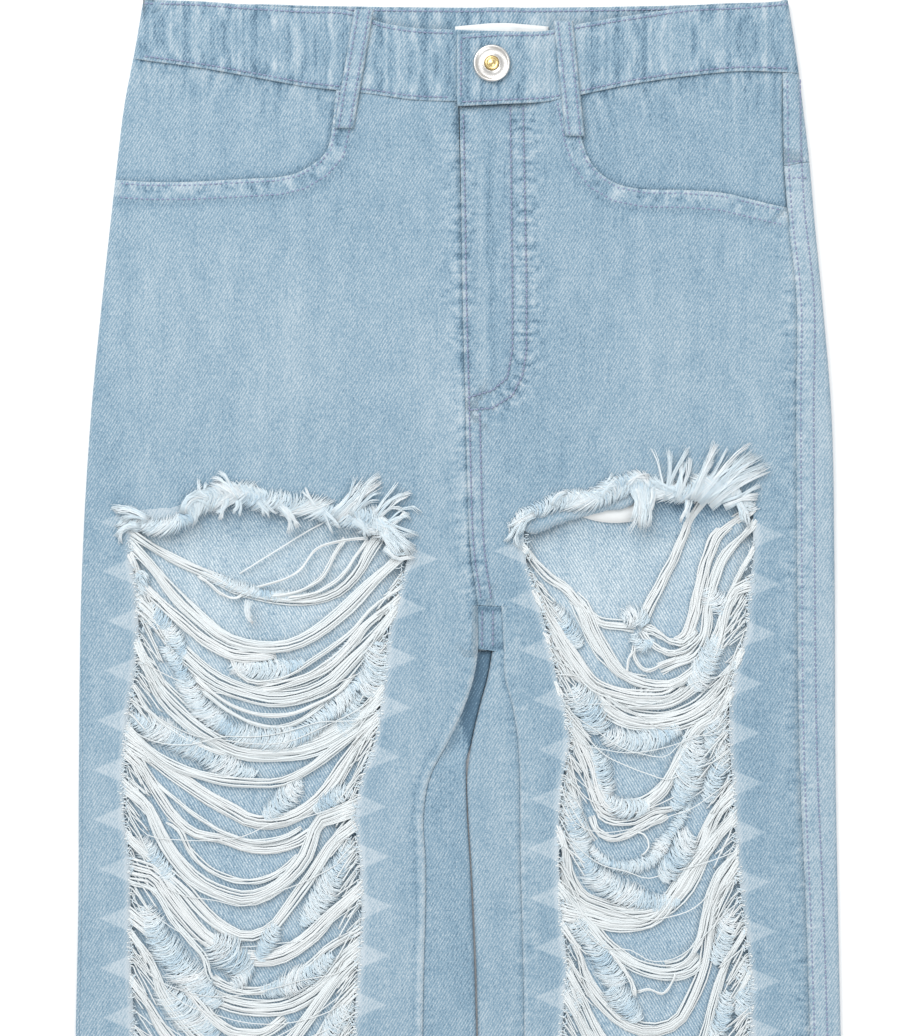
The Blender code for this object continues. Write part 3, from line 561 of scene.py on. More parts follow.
def front_outline(side):
    """Grid of a front panel seen from above, and the number of the row on the torn edge."""
    torn = TORN[side]
    outer_end, inner_end = (torn[0, 1], torn[-1, 1]) if side == "R" else (torn[-1, 1], torn[0, 1])
    scoop = SCOOP[side]
    share = np.arange(len(scoop)) / (len(scoop) - 1.0)
    fine = np.linspace(0.0, 1.0, COLUMNS_SIDE + COLUMNS_RIP + 1)
    scoop_x = follow(np.stack([share, scoop[:, 0]], axis=1), fine)
    scoop_y = follow(np.stack([share, scoop[:, 1]], axis=1), fine)
    band_x = np.linspace(scoop[-1, 0], 0.1 if side == "R" else 0.7, COLUMNS_CENTRE + 1)[1:]
    band_y = straight(WAIST[side], band_x, 2) + SEAM_LAP
    top = np.stack([np.concatenate([scoop_x, band_x]), np.concatenate([scoop_y, band_y])], axis=1)
    lines = []
    for height in STRAIGHT_ROWS:
        if height is None:
            x = row_across(side, outer_end, inner_end)
            y = straight(torn, x, 1) + 0.7 * ripple(x * 1.3, 0.4)
            y[:COLUMNS_SIDE + 1] = outer_end
            y[-COLUMNS_CENTRE - 1:] = inner_end
            lines.append(np.stack([x, y], axis=1))
        else:
            x = row_across(side, height, height)
            lines.append(np.stack([x, np.full(x.shape, height)], axis=1))

    def between(first, last, steps):
        """Rows that pass evenly from one row to another, without the two."""
        shares = (np.arange(1, steps) / steps)[:, None, None]
        return list(first * (1.0 - shares) + last * shares)

    torn_at = [row is None for row in STRAIGHT_ROWS].index(True)
    steps = 9
    above = [top] + between(top, lines[0], 2 * steps) + lines[:torn_at]
    above += between(lines[torn_at - 1], lines[torn_at], steps)
    below = between(lines[torn_at], lines[torn_at + 1], steps) + lines[torn_at + 1:]
    return np.stack(above + [lines[torn_at]] + below), len(above)


def hem_fold(y):
    """Rise of the turned-up hem: one more layer over the lowest 12 mm."""
    return 0.7 * (1.0 - ease(y, 11.0, 12.5))


def seam_values(x, y, lines, reach=8.0):
    """Pucker weight and place along the nearest seam: a bell of the distance to each line.

    lines holds pairs of the weight on the line and the line.
    """
    nearest, place, pucker = np.full(x.shape, 1e9), np.zeros(x.shape), np.zeros(x.shape)
    for number, (weight, line) in enumerate(lines):
        away, along = beside(x, y, line)
        place = np.where(away < nearest, along + 700.0 * number, place)
        nearest = np.minimum(nearest, away)
        pucker = np.maximum(pucker, weight * bell(away, reach))
    return {"pucker": pucker, "seam_along": place}


# Seams that pucker each front panel: weight, line
FRONT_SEAMS = {
    "R": [(0.9, SCOOP["R"]), (0.8, line_of(FRONT_CENTRE, 1)), (0.35, line_of(INNER_LEGS, 1))],
    "L": [(0.9, SCOOP["L"]), (0.8, line_of(FRONT_CENTRE, 1)), (1.0, FLY_J["outer"]),
          (0.35, line_of(INNER_LEGS, 4)), (0.6, line_of(SIDES, 3))],
}


def marks_of_right(x, y):
    """Rise and paleness, wearer's right: painted shadow by the centre seam, and the paler lower leg."""
    # Painted shadow of the fly's raised edge, on this panel beside the centre seam above the tab
    fade_and_painted_shade = -0.30 * bell(x - follow(FRONT_CENTRE, y), 0.9) * (y > TAB_TOP)
    fade_and_painted_shade += (0.07 - 0.03 * ease(x, -40.0, -10.0)) * (1.0 - ease(y, 700.0, 800.0))
    return 0.0, fade_and_painted_shade


def marks_of_left(x, y):
    """Rise and paleness, wearer's left: grooves of the fly's stitches, its shaded and puckered
    panel, the pale edge of the centre seam and the pale strip over the torn edge.
    """
    rise = -0.35 * sum(bell(beside(x, y, row)[0], 2.0) for row in FLY_J.values())
    panel = bell(x - 16.0, 12.0, 4) * ease(y, 835.0, 860.0)
    fade_and_painted_shade = panel * (-0.07 + 0.20 * ripple(x * 0.9 + y * 0.02, 0.8))
    fade_and_painted_shade += 0.22 * bell(x - 3.0, 1.5) * ease(y, 735.0, 760.0)
    inner, outer = (straight(RIP_EDGES, y, column) for column in RIP_SIDES["L"])
    over_torn = y - straight(TORN["L"], x, 1)
    strip = bell(over_torn, 7.0) * (over_torn > -1.5) * (y > UNDER_TORN)
    fade_and_painted_shade += 0.20 * strip * (x > inner - 2.0) * (x < outer - 20.0)
    return rise, fade_and_painted_shade


def beside_rip(side, x, y):
    """Distance out of the rip's nearest side, and the turn of the row of points along it."""
    left, right = (straight(RIP_EDGES, y, column) for column in RIP_SIDES[side])
    on_outer = left - x > x - right if side == "R" else x - right > left - x
    first = np.where(on_outer, *POINT_FIRST[side])
    away = np.maximum(left - x, x - right) + FAR * ((y > first + 9.0) | (y < KNEE_END + 4.0))
    return away, (first - y) / POINT_PITCH


def front_panel(side):
    """Front panel: its outline, raised by folds, seams and puckers, with the rip left open."""
    flat, torn_row = front_outline(side)
    x, y = flat[..., 0], flat[..., 1]
    edge, along = beside(x, y, SCOOP[side])
    scoop_fade, _ = bands(SCOOP_BANDS, edge)
    inseam_fade, inseam_rise = bands(INSEAM_BANDS[side], x - follow(INNER_LEGS, y, INSEAM[side]))
    on_leg = y < INSEAM_TOP[side]
    marks_rise, marks_fade_and_painted_shadow = (marks_of_right if side == "R" else marks_of_left)(x, y)
    folds = soft_folds(x, y)
    puckers = bell(edge - 5.0, 3.4, 4) * ripple(along * 1.15, 0.6)
    z = stack_height(y) + folds + hem_fold(y) + marks_rise + on_leg * inseam_rise
    z += 0.5 * (1.0 - ease(edge, 9.0, 11.0)) + 0.25 * ripple(along, 1.0) * bell(edge, 8.0)
    z += 0.22 * puckers
    # On the right panel this carries the painted shadow beside the centre seam
    fade_and_painted_shade = scoop_fade + marks_fade_and_painted_shadow + on_leg * inseam_fade + patches(WORN_AREAS, x, y) - 0.03
    fade_and_painted_shade += 0.24 * puckers + 0.05 * (folds - 0.25) * (y > 560.0)
    away, turn = beside_rip(side, x, y)
    points = np.stack([x, y, z], axis=-1)
    keep = np.ones((flat.shape[0] - 1, flat.shape[1] - 1), bool)
    in_rip = (y[:-1, :-1] > KNEE_END + 0.1) & (np.arange(flat.shape[0] - 1)[:, None] >= torn_row)
    torn_columns = slice(COLUMNS_SIDE, COLUMNS_SIDE + COLUMNS_RIP)
    keep[:, torn_columns] &= ~in_rip[:, torn_columns]
    values = {"fade_and_painted_shade": fade_and_painted_shade, "rip_away": away, "rip_turn": turn, **seam_values(x, y, FRONT_SEAMS[side])}
    if side == "R":
        arc_steps = 5
        radius = stack_height(y[:, 0]) / 2.0
        fold = follow(SIDES, y[:, 0], 1)
        shares = np.linspace(0.0, 1.0, arc_steps, endpoint=False)
        angle = outseam_angle(y[:, 0])[:, None] * (1.0 - shares) + np.pi / 2.0 * shares
        arc = np.stack([fold[:, None] + radius[:, None] * (1.0 + np.cos(angle)),
                        np.broadcast_to(y[:, :1], angle.shape),
                        radius[:, None] * (1.0 + np.sin(angle))], axis=-1)
        points = np.concatenate([arc, points], axis=1)
        keep = np.concatenate([np.ones((keep.shape[0], arc_steps), bool), keep], axis=1)
        values = {key: np.concatenate([np.repeat(value[:, :1], arc_steps, axis=1), value], axis=1)
                  for key, value in values.items()}
    else:
        points, keep = points[:, ::-1], keep[:, ::-1]
        values = {key: value[:, ::-1] for key, value in values.items()}
    cloth(f"front_panel_{side}", points, DENIM_WALL, (DENIM_POINTS, DENIM_INNER), values, keep,
          nodes=[f"front_leg_{side}"])


front_panel("R")
front_panel("L")

# Back panels
# The same twill, folded round both sides of each leg to the seams. Their inner face shows
# through the rips, paler and with its diagonals the other way, and they lie on the surface.
BACK_CENTRE = np.array([(1046.8, 23.4), (709.3, 14.6)])
YOKE_SIDE, YOKE_CENTRE = 963.0, 936.0
BACK_LOOP_XS = {"belt_loop_back_R": -96.0, "belt_loop_back_C": 22.0, "belt_loop_back_L": 140.0}
BACK_POCKET_XS = ((-144.0, -26.0), (55.0, 173.0))
POCKET_FOOT, POCKET_HEAD, POCKET_RISE = 775.0, 923.8, 1.5
LOOP_FOOT, LOOP_HEAD, LOOP_HALF, LOOP_RISE = 998.0, 1046.8, 5.0, 1.3
PLATE_CLEAR, PLATE_RAMP = 1.2, 4.0
# x from, x to, height from, height to, rise over what is sewn on underneath
PLATES = ([(x0, x1, POCKET_FOOT, POCKET_HEAD, POCKET_RISE) for x0, x1 in BACK_POCKET_XS]
          + [(x - LOOP_HALF, x + LOOP_HALF, LOOP_FOOT, LOOP_HEAD, LOOP_RISE)
             for x in BACK_LOOP_XS.values()])


def ramp_xs(low, high):
    """x of both ends of the ramps at the sides of a plate."""
    return [low - PLATE_CLEAR - PLATE_RAMP, low - PLATE_CLEAR,
            high + PLATE_CLEAR, high + PLATE_CLEAR + PLATE_RAMP]


LOOP_RAMPS = [x for middle in BACK_LOOP_XS.values()
              for x in ramp_xs(middle - LOOP_HALF, middle + LOOP_HALF)]
# Gap on each side of the centre back seam, and how far inside a yoke seam a row follows it
CENTRE_GAP, SEAM_ROW = 0.15, 0.9
TURN_STEPS = 8
HALF_TURN = np.linspace(90.0, -90.0, TURN_STEPS + 1)
# x of each side fold at the yoke seam
YOKE_ENDS = (-176.8, 182.3)
# Seams that pucker each back panel and the yokes: weight, line
BACK_SEAMS = {"R": [(0.2, line_of(INNER_LEGS, 1))],
              "L": [(0.6, line_of(SIDES, 3)), (0.35, line_of(INNER_LEGS, 4))]}
YOKE_SEAMS = [(1.0, np.array([(YOKE_ENDS[0], YOKE_SIDE), (23.0, YOKE_CENTRE),
                              (YOKE_ENDS[1], YOKE_SIDE)])),
              (0.8, line_of(SIDES[:4], 3))]
BACK_ROWS = np.unique(np.concatenate([
    np.arange(0.0, 405.0, 9.0), np.arange(405.0, 509.0, 6.0), np.arange(509.0, 769.0, 4.2),
    [CROTCH, 731.4, TAB_TOP, 769.8, 773.8, 925.0, 929.0], np.arange(779.0, 925.0, 8.0)]))[::-1]


def lift(x, y):
    """Rise of the underside over the sewn plates: flat over each, then a ramp down."""
    x, y = np.broadcast_arrays(np.asarray(x, float), np.asarray(y, float))
    rise = np.zeros(x.shape)
    for x0, x1, y0, y1, height in PLATES:
        away = np.maximum(np.maximum(x0 - x, x - x1), np.maximum(y0 - y, y - y1))
        rise = np.maximum(rise, height * np.clip(1.0 - (away - PLATE_CLEAR) / PLATE_RAMP, 0.0, 1.0))
    return rise


def grid(columns):
    """Set columns of (x, y, z) side by side as rows by columns by xyz."""
    return np.stack([np.stack(np.broadcast_arrays(*c), axis=-1) for c in columns], axis=1)


def arc_columns(fold, y, side, angles):
    """Columns round a fold: a circle as high as the stack, at the given angles in degrees."""
    radius = stack_height(y) / 2.0
    return [(fold - side * radius + radius * np.cos(a), y, radius * (1.0 + np.sin(a)))
            for a in np.radians(angles)]


def yoke_seam(x):
    """Height of the seam under the yoke: straight from the centre back up to each side fold."""
    centre = straight(BACK_CENTRE, YOKE_CENTRE)
    end = np.where(x < centre, *YOKE_ENDS)
    return YOKE_CENTRE + (YOKE_SIDE - YOKE_CENTRE) * (x - centre) / (end - centre)


def underside_xs(snaps, low, high):
    """x of columns on the underside: an even run and the snaps, from the larger to the smaller."""
    even = np.arange(low, high, 11.0)
    clear = even[np.min(np.abs(even[:, None] - np.array(snaps)[None]), axis=1) > 3.0]
    return np.sort(np.concatenate([clear, snaps]))[::-1]


def under_yoke(columns):
    """Grid of a back panel's columns, whose two upper rows follow the yoke seam."""
    points = grid(columns)
    points[0, :, 1] = yoke_seam(points[0, :, 0]) - CENTRE_GAP
    points[1, :, 1] = points[0, :, 1] - SEAM_ROW
    return points


def right_back(y):
    """Points, kept cells and paleness, wearer's right: inseam on top, inner fold, underside, side.

    From where the legs part, the wrap drops under the left leg's, into the valley between them. Its
    paleness is painted shade: deep in the valley, and deeper towards the inner fold.
    """
    below, height = y <= CROTCH, stack_height(y)
    fold, seam = follow(INNER_LEGS, y, 2), follow(INNER_LEGS, y, 1) - SEAM_LAP
    valley = ease(y, 648.0, 662.0)
    fold = fold + valley * (follow(INNER_LEGS, y, 3) - 0.2 - fold)
    columns = []
    for share in np.linspace(0.0, 1.0, TURN_STEPS, endpoint=False):
        x = seam + (fold - height / 2.0 - seam) * share
        columns.append((x, y, height - 0.4 - 3.0 * valley * ease(share, 0.0, 0.35)))
    turned = arc_columns(fold, y, 1, HALF_TURN[:-1])
    columns += [(x, y, z * (1.0 - 0.62 * valley)) for x, _, z in turned]
    end = np.where(below, fold - height / 2.0, straight(BACK_CENTRE, y) - CENTRE_GAP)
    columns.append((end, y, lift(end, y)))
    xs = underside_xs(ramp_xs(*BACK_POCKET_XS[0]) + [-165.0], -160.0, -26.0)
    columns += [(np.full(y.shape, x), y, lift(x, y)) for x in xs]
    start = np.degrees(outseam_angle(y)) + 3.0
    columns += side_turn(y, height, start)
    keep = np.ones((len(y) - 1, len(columns) - 1), bool)
    keep[:, :2 * TURN_STEPS] = below[:-1, None]
    points = under_yoke(columns)
    x, rows = points[..., 0], points[..., 1]
    # Painted shade on the wrap: deep where it drops into the valley between the legs, and deeper towards
    # the inner fold
    painted_valley_shade = ease(rows - 3.5 * (5.2 - x), 656.0, 663.0)
    painted_shade_by_fold = np.exp(-np.clip(fold[:, None] - x, 0.0, 40.0) / 6.0)
    fade_and_painted_shade = -(0.07 + 0.08 * painted_shade_by_fold + 0.42 * painted_valley_shade)
    fade_and_painted_shade[:, 2 * TURN_STEPS:] = 0.0
    return points, keep, fade_and_painted_shade


def side_turn(y, height, start):
    """Columns round the right side fold, from the underside up to the outseam's angle."""
    side_fold = follow(SIDES, y, 1)
    angles = [np.radians(270.0 + (start - 270.0) * share)
              for share in np.linspace(0.0, 1.0, TURN_STEPS + 1)]
    return [(side_fold + height / 2.0 * (1.0 + np.cos(angle)), y,
             height / 2.0 * (1.0 + np.sin(angle))) for angle in angles]


def left_back(y):
    """Points, kept cells and paleness, wearer's left: outseam on top, side fold, underside, inner
    fold, and on top again to the inseam and the tab over the crotch.
    """
    below, height = y <= CROTCH, stack_height(y)
    fold, seam = follow(INNER_LEGS, y, 3), follow(INNER_LEGS, y, 4) + SEAM_LAP
    side_fold, outseam = follow(SIDES, y, 2), follow(SIDES, y, 3) - SEAM_LAP
    columns = []
    for share in np.linspace(0.0, 1.0, 6, endpoint=False):
        x = outseam + (side_fold - height / 2.0 - outseam) * share
        columns.append((x, y, height + 0.45 * bell(x - outseam - 5.0, 5.0, 4)))
    columns += arc_columns(side_fold, y, 1, HALF_TURN)
    xs = underside_xs(ramp_xs(*BACK_POCKET_XS[1]), 60.0, 172.0)
    columns += [(np.full(y.shape, x), y, lift(x, y)) for x in xs]
    end = np.where(below, fold + height / 2.0, straight(BACK_CENTRE, y) + CENTRE_GAP)
    columns.append((end, y, lift(end, y)))
    columns += arc_columns(fold, y, -1, (HALF_TURN + 180.0)[1:-1])
    top_start = np.where(below, fold + height / 2.0, follow(INNER_LEGS, y, 1) - 0.1)
    for share in np.linspace(0.0, 1.0, TURN_STEPS + 1):
        columns.append((top_start + (seam - top_start) * share, y,
                        height - 0.3 * ease(share + 1.0 * (y > CROTCH), 0.6, 1.0)))
    keep = np.ones((len(y) - 1, len(columns) - 1), bool)
    keep[:, -2 * TURN_STEPS:-TURN_STEPS] = below[:-1, None]
    keep[:, -TURN_STEPS:] = (y[:-1] <= TAB_TOP + 0.5)[:, None]
    points = under_yoke(columns)
    x, rows = points[..., 0], points[..., 1]
    edge = x - follow(SIDES, rows, 3)
    top = points[..., 2] > height[:, None] * 0.9
    fade_and_painted_shade = 0.10 * top * (edge > -2.0) + 0.12 * top * bell(edge - 0.8, 1.0)
    fade_and_painted_shade -= 0.20 * bell(x - seam[:, None] + 1.2, 1.1) * (rows < CROTCH) * (x < 60.0)
    tab = (rows > CROTCH) & (x < 30.0) & top
    rim = bell(rows - 731.5, 1.4) + bell(rows - CROTCH, 2.2)
    fade_and_painted_shade -= tab * (0.10 + 0.35 * np.clip(rim, 0.0, 1.0))
    return points, keep, fade_and_painted_shade


def back_panel(side):
    """Back panel: its inner face deeper down the legs, partly its own tone and partly painted shade."""
    y = np.concatenate([[YOKE_SIDE, YOKE_SIDE - 1.0], BACK_ROWS])
    points, keep, fade_and_painted_shade = (right_back if side == "R" else left_back)(y)
    x, rows = points[..., 0], points[..., 1]
    # Painted shadows on the inner face under the torn edges
    fade_and_painted_shade = fade_and_painted_shade + 0.02 + patches(PAINTED_SHADOW_PATCHES[side], x, rows)
    # Deeper down the legs, on the underside and its inner face: partly the cloth's own tone, partly
    # painted shade in the rips' lower gaps
    fade_and_painted_shade -= 0.13 * (1.0 - ease(rows, 650.0, 735.0)) * (points[..., 2] < 1.6)
    fade_and_painted_shade += 0.02 * ripple(x * 0.21 + rows * 0.05, 0.9) * ripple(rows * 0.19, 2.2)
    cloth(f"back_panel_{side}", points, DENIM_WALL, (DENIM, DENIM_INNER),
          {"fade_and_painted_shade": fade_and_painted_shade, **seam_values(x, rows, BACK_SEAMS[side])}, keep,
          nodes=[f"back_leg_{side}"])


back_panel("R")
back_panel("L")

# Yokes
# Two shaped pieces of the same twill between waistband and back panels. The left one comes over
# the side fold to the outseam on top.


def yoke(side):
    """Yoke from the waistband down to the yoke seam, from the centre back round the side fold."""
    y = np.array([1015.8 if side == "R" else 1008.6, 1001.0, 996.8, 992.8, 985.0, 978.0, 970.0,
                  YOKE_SIDE + 1.0, YOKE_SIDE])
    height = stack_height(y)
    centre = straight(BACK_CENTRE, y)
    if side == "R":
        xs = underside_xs([x for x in LOOP_RAMPS if x < centre[0]], -150.0, 8.0)
        columns = [(centre - CENTRE_GAP, y, lift(centre, y))]
        columns += [(np.full(y.shape, x), y, lift(x, y)) for x in xs]
        columns += arc_columns(follow(SIDES, y, 1), y, -1, np.linspace(270.0, 176.0, 7))
    else:
        xs = underside_xs([x for x in LOOP_RAMPS if x > centre[0]], 38.0, 160.0)
        seam, fold = follow(SIDES, y, 3) - SEAM_LAP, follow(SIDES, y, 2)
        columns = [(seam + (fold - height / 2.0 - seam) * share, y,
                    height + 0.45 * bell((fold - seam) * share - 5.0, 5.0, 4))
                   for share in np.linspace(0.0, 1.0, 5, endpoint=False)]
        columns += arc_columns(fold, y, 1, HALF_TURN)
        columns += [(np.full(y.shape, x), y, lift(x, y)) for x in xs]
        columns += [(centre + CENTRE_GAP, y, lift(centre, y))]
    points = grid(columns)
    points[0, :, 1] = straight(WAIST["back"], points[0, :, 0], 2) + 0.1
    points[-1, :, 1] = yoke_seam(points[-1, :, 0])
    points[-2, :, 1] = points[-1, :, 1] + SEAM_ROW
    cloth(f"yoke_panel_{side}", points, DENIM_WALL, (DENIM, DENIM_INNER),
          {"fade_and_painted_shade": 0.04, **seam_values(points[..., 0], points[..., 1], YOKE_SEAMS, reach=3.0)},
          nodes=[f"yoke_{side}"])


yoke("R")
yoke("L")

# Pocket facings and bag
# The denim that shows inside each scoop, and the white cotton bag whose lower edge hangs into
# the left rip.
FACING_TOP, BAG_TOP, PLY = 4.85, 4.4, 1.0
FACING_TURN = 2.2
# Height of each facing's lower edge, and of its upper end at the side
FACING_ENDS = {"R": (940.0, 1015.8), "L": (934.0, 1008.0)}


def facing(side):
    """Facing from the waistband to under the front panel's scoop."""
    shares = np.linspace(0.0, 1.0, 60)
    rows = np.linspace(0.0, 1.0, 24)
    low, high = FACING_ENDS[side]
    side_y = high + (low - high) * rows
    if side == "R":
        start, end = follow(SIDES, side_y, 1) + FACING_TURN, np.full(rows.shape, -50.0)
    else:
        start, end = np.full(rows.shape, 46.0), follow(SIDES, side_y, 3) + 0.5
    x = start[:, None] + (end - start)[:, None] * shares
    top = straight(WAIST[side], x, 2) + SEAM_LAP
    y = top + (low - top) * rows[:, None]
    points = np.stack([x, y, np.full(x.shape, FACING_TOP)], axis=-1)
    if side == "R":
        turn = [(start + FACING_TURN * np.cos(a), y[:, 0],
                 FACING_TOP - FACING_TURN * (1.0 - np.sin(a)))
                for a in np.radians(np.linspace(176.0, 104.0, 5))]
        points = np.concatenate([grid(turn), points], axis=1)
    x, y = points[..., 0], points[..., 1]
    band, along = beside(x, y, WAIST[side][:, (0, 2)])
    points[..., 2] += 0.25 * ripple(along * 0.5, 0.5) * bell(band, 10.0)
    points[..., 2] += 1.1 * np.exp(-band / 6.0)
    edge, _ = beside(x, y, SCOOP[side])
    # Painted shade where the scoop's edge and the waistband's lower edge overhang the facing; the left
    # one is a little deeper all over
    fade_and_painted_shade = -0.16 * bell(edge, 3.5) - 0.16 * bell(band, 2.0) - 0.06 * (side == "L")
    fade_and_painted_shade += 0.05 * ripple(x * 0.18 + y * 0.30, 1.7) * ripple(y * 0.2 - x * 0.1, 0.3)
    cloth(f"pocket_lining_{side}", points, PLY, (DENIM,),
          {"fade_and_painted_shade": fade_and_painted_shade, "pucker": 0.8 * np.exp(-band / 14.0), "seam_along": along},
          nodes=[f"pocket_facing_{side}"])


facing("R")
facing("L")

cotton = Finish("white_cotton", roughness=0.95)
cotton_at, cotton_x, cotton_y = cotton.place()
thread_up = ((cotton_x / 0.45).fraction() - 0.5).size() + ((cotton_y / 0.45).fraction() - 0.5).size()
cotton_tone = thread_up * 0.25 + cotton.noise(cotton_at, (0.15, 0.15, 0.0)) * 0.12 + 0.55
COTTON_STOPS = ((0.0, (0.55, 0.59, 0.61)), (1.0, (0.86, 0.88, 0.88)))
WHITE_COTTON = cotton.lit(cotton.ramp(COTTON_STOPS, cotton_tone.clamped()), thread_up)

# x, height of the bag's lower edge
BAG_FOOT = np.array([(53.0, 787.0), (60.0, 781.0), (66.0, 778.4), (74.0, 776.4), (92.0, 777.0),
                     (97.0, 778.4), (103.0, 790.0), (122.0, 792.0), (128.0, 787.0),
                     (137.0, 786.5), (142.0, 792.0), (151.0, 795.0)])
bag_x = np.linspace(53.0, 151.0, 50)
bag_foot = follow(BAG_FOOT, bag_x)
bag_rows = np.linspace(0.0, 1.0, 30)[:, None]
bag_y = 933.4 + (bag_foot - 933.4) * bag_rows
bag_z = BAG_TOP + 0.35 * np.sin(bag_x / 13.0) * bag_rows
cloth("pocket_bag_cloth", np.stack(np.broadcast_arrays(bag_x, bag_y, bag_z), axis=-1), PLY,
      (WHITE_COTTON,), {"fade_and_painted_shade": 0.0}, nodes=["pocket_bag_L"])

# Waistband
# One strip of twill, folded double and stiffened, sewn on all round. Its left end laps over the
# right one at the centre front, under the button. Its edges are puckered and faded by washing.
WAIST_HEIGHT, WAIST_WALL, TAB_RISE = 6.9, 2.0, 2.3
TAB_END, TAB_FLAT, TAB_RAMP, UNDERLAP_END = -0.5, 31.5, 47.0, 30.0
BAND_SHARES = np.array([1.0, 0.98, 0.93, 0.85, 0.72, 0.58, 0.42, 0.28, 0.15, 0.07, 0.02, 0.0])


def waist_top(x):
    """Height of the waistband's face on the wearer's left, raised at the button tab."""
    return WAIST_HEIGHT + TAB_RISE * np.clip((TAB_RAMP - x) / (TAB_RAMP - TAB_FLAT), 0.0, 1.0)


def band_run(part, xs, heights):
    """Columns across the strip at each x."""
    upper, lower = follow(WAIST[part], xs, 1), follow(WAIST[part], xs, 2)
    y = lower[None] + (upper - lower)[None] * BAND_SHARES[:, None]
    x = np.broadcast_to(xs, y.shape)
    return np.stack([x, y, np.broadcast_to(heights(x, y), y.shape)], axis=-1)


def band_turn(part, column, side, angles):
    """Columns round a side fold."""
    end = WAIST[part][-1 if side > 0 else 0]
    y = end[2] + (end[1] - end[2]) * BAND_SHARES
    centre = follow(SIDES, y, column) - side * WAIST_HEIGHT / 2.0
    return grid([(centre + WAIST_HEIGHT / 2.0 * np.cos(a), y,
                  np.full(y.shape, WAIST_HEIGHT / 2.0 * (1.0 + np.sin(a))))
                 for a in np.radians(angles)])


left_xs = np.concatenate([[TAB_END, 0.4, 1.2], np.arange(2.6, 170.0, 2.6)])
back_xs = underside_xs(LOOP_RAMPS, -160.0, 168.0)
right_xs = np.concatenate([np.arange(-163.0, -1.0, 2.6), [8.0, 20.0, UNDERLAP_END]])
half_circle = HALF_TURN[1:-1]
band = np.concatenate([
    band_run("L", left_xs, lambda x, y: waist_top(x)),
    band_turn("L", 2, 1, half_circle),
    band_run("back", back_xs, lift),
    band_turn("R", 1, -1, 180.0 - half_circle[::-1]),
    band_run("R", right_xs, lambda x, y: WAIST_HEIGHT),
], axis=1)
band_x, band_y = band[..., 0], band[..., 1]
on_top = band[..., 2] > WAIST_HEIGHT * 0.95
edges = np.abs(BAND_SHARES[:, None] - 0.5) * 2.0
wrinkle = ripple(band_x + 7.0 * edges, 0.9) * (0.35 + 0.65 * edges ** 2)
band[..., 2] += on_top * (0.32 * wrinkle + 0.15 * ripple(band_x * 0.4, 3.0))
band_fade = on_top * (0.06 * wrinkle + 0.05 * ripple(band_x * 0.5 + 4.0 * edges, 2.7))
band_fade += 0.18 * (edges > 0.97) - 0.02 - 0.05 * on_top * (1.0 - edges)
band_fade -= 0.10 * bell(BAND_SHARES[:, None] - 0.07, 0.035)
band_fade += 0.22 * on_top * (np.abs(band_x - TAB_END) < 0.3) * (band[..., 2] > WAIST_HEIGHT + 1.5)
cloth("waistband_strip", band, WAIST_WALL, (DENIM,),
      {"fade_and_painted_shade": band_fade, "pucker": 0.5 + 0.45 * edges, "seam_along": band_x * 0.8},
      nodes=["waistband"])

LABEL_XS, LABEL_YS, LABEL_BOW = (-1.6, 46.8), (1035.0, 1012.0), 1.6
label_x = np.linspace(*LABEL_XS, 25)
label_bow = LABEL_BOW * (np.sin(np.pi * np.linspace(0.0, 1.0, 25)) - 1.0)
label_y = np.linspace(*LABEL_YS, 12)[:, None] + label_bow
label_z = WAIST_WALL + lift(label_x, label_y) + 0.3 + PLY
cloth("waist_label_cloth", np.stack(np.broadcast_arrays(label_x, label_y, label_z), axis=-1), PLY,
      (WHITE_COTTON,), {"fade_and_painted_shade": 0.0}, nodes=["waist_label"])

# Belt loops and back pockets
# Strips of twill folded in three, with a row of stitches near each edge, tacked over the
# waistband. The back ones and the patch pockets lie flat underneath.
LOOP_WALL, LOOP_WIDE = 1.2, 10.0
# x, height of the left corner at each front loop's upper and lower end
LOOPS = {"R": ((-53.6, 1041.5), (-64.1, 980.0)), "L": ((49.3, 1035.5), (55.5, 976.0))}


def loop_top(side, x, y):
    """Height of a front loop's face: over the waistband, then down onto the panel."""
    edge = straight(WAIST[side], x, 2) - 1.0
    return HIP_HEIGHT + 0.6 + (WAIST_HEIGHT - HIP_HEIGHT) * ease(y, edge - 5.0, edge) + LOOP_WALL


for side, (upper_end, lower_end) in LOOPS.items():
    share = np.linspace(0.0, 1.0, 34)[:, None]
    wide = np.linspace(0.0, 1.0, 11)
    loop_x = upper_end[0] + (lower_end[0] - upper_end[0]) * share + LOOP_WIDE * wide
    loop_y = upper_end[1] + (lower_end[1] - upper_end[1]) * share + 0.0 * wide
    rib = np.abs(wide - 0.5) * 2.0
    loop_z = loop_top(side, loop_x, loop_y) + 0.35 * bell(rib - 0.55, 0.2) - 0.5 * (rib > 0.95)
    loop_fade = 0.12 * ripple(loop_y * 1.2, 0.4) * rib + 0.28 * bell(rib - 1.0, 0.18)
    loop_fade = loop_fade - 0.14 * bell(rib - 0.55, 0.12) + 0.03
    cloth(f"front_loop_{side}", np.stack([loop_x, loop_y, loop_z], axis=-1), LOOP_WALL, (DENIM,),
          {"fade_and_painted_shade": loop_fade, "pucker": 0.3 + 0.4 * rib, "seam_along": loop_y},
          nodes=[f"belt_loop_front_{side}"])

for node in list(BACK_LOOP_XS) + ["back_pocket_R", "back_pocket_L"]:
    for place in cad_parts[node].material_slots:
        place.material = DENIM

# Button
# A shank button on the tab: a stamped steel disc, dished, with a rolled rim, and a small bright
# cap in its middle. Its face is bare.
BUTTON_X, BUTTON_Y, BUTTON_FOOT = 17.4, 1013.2, 9.5
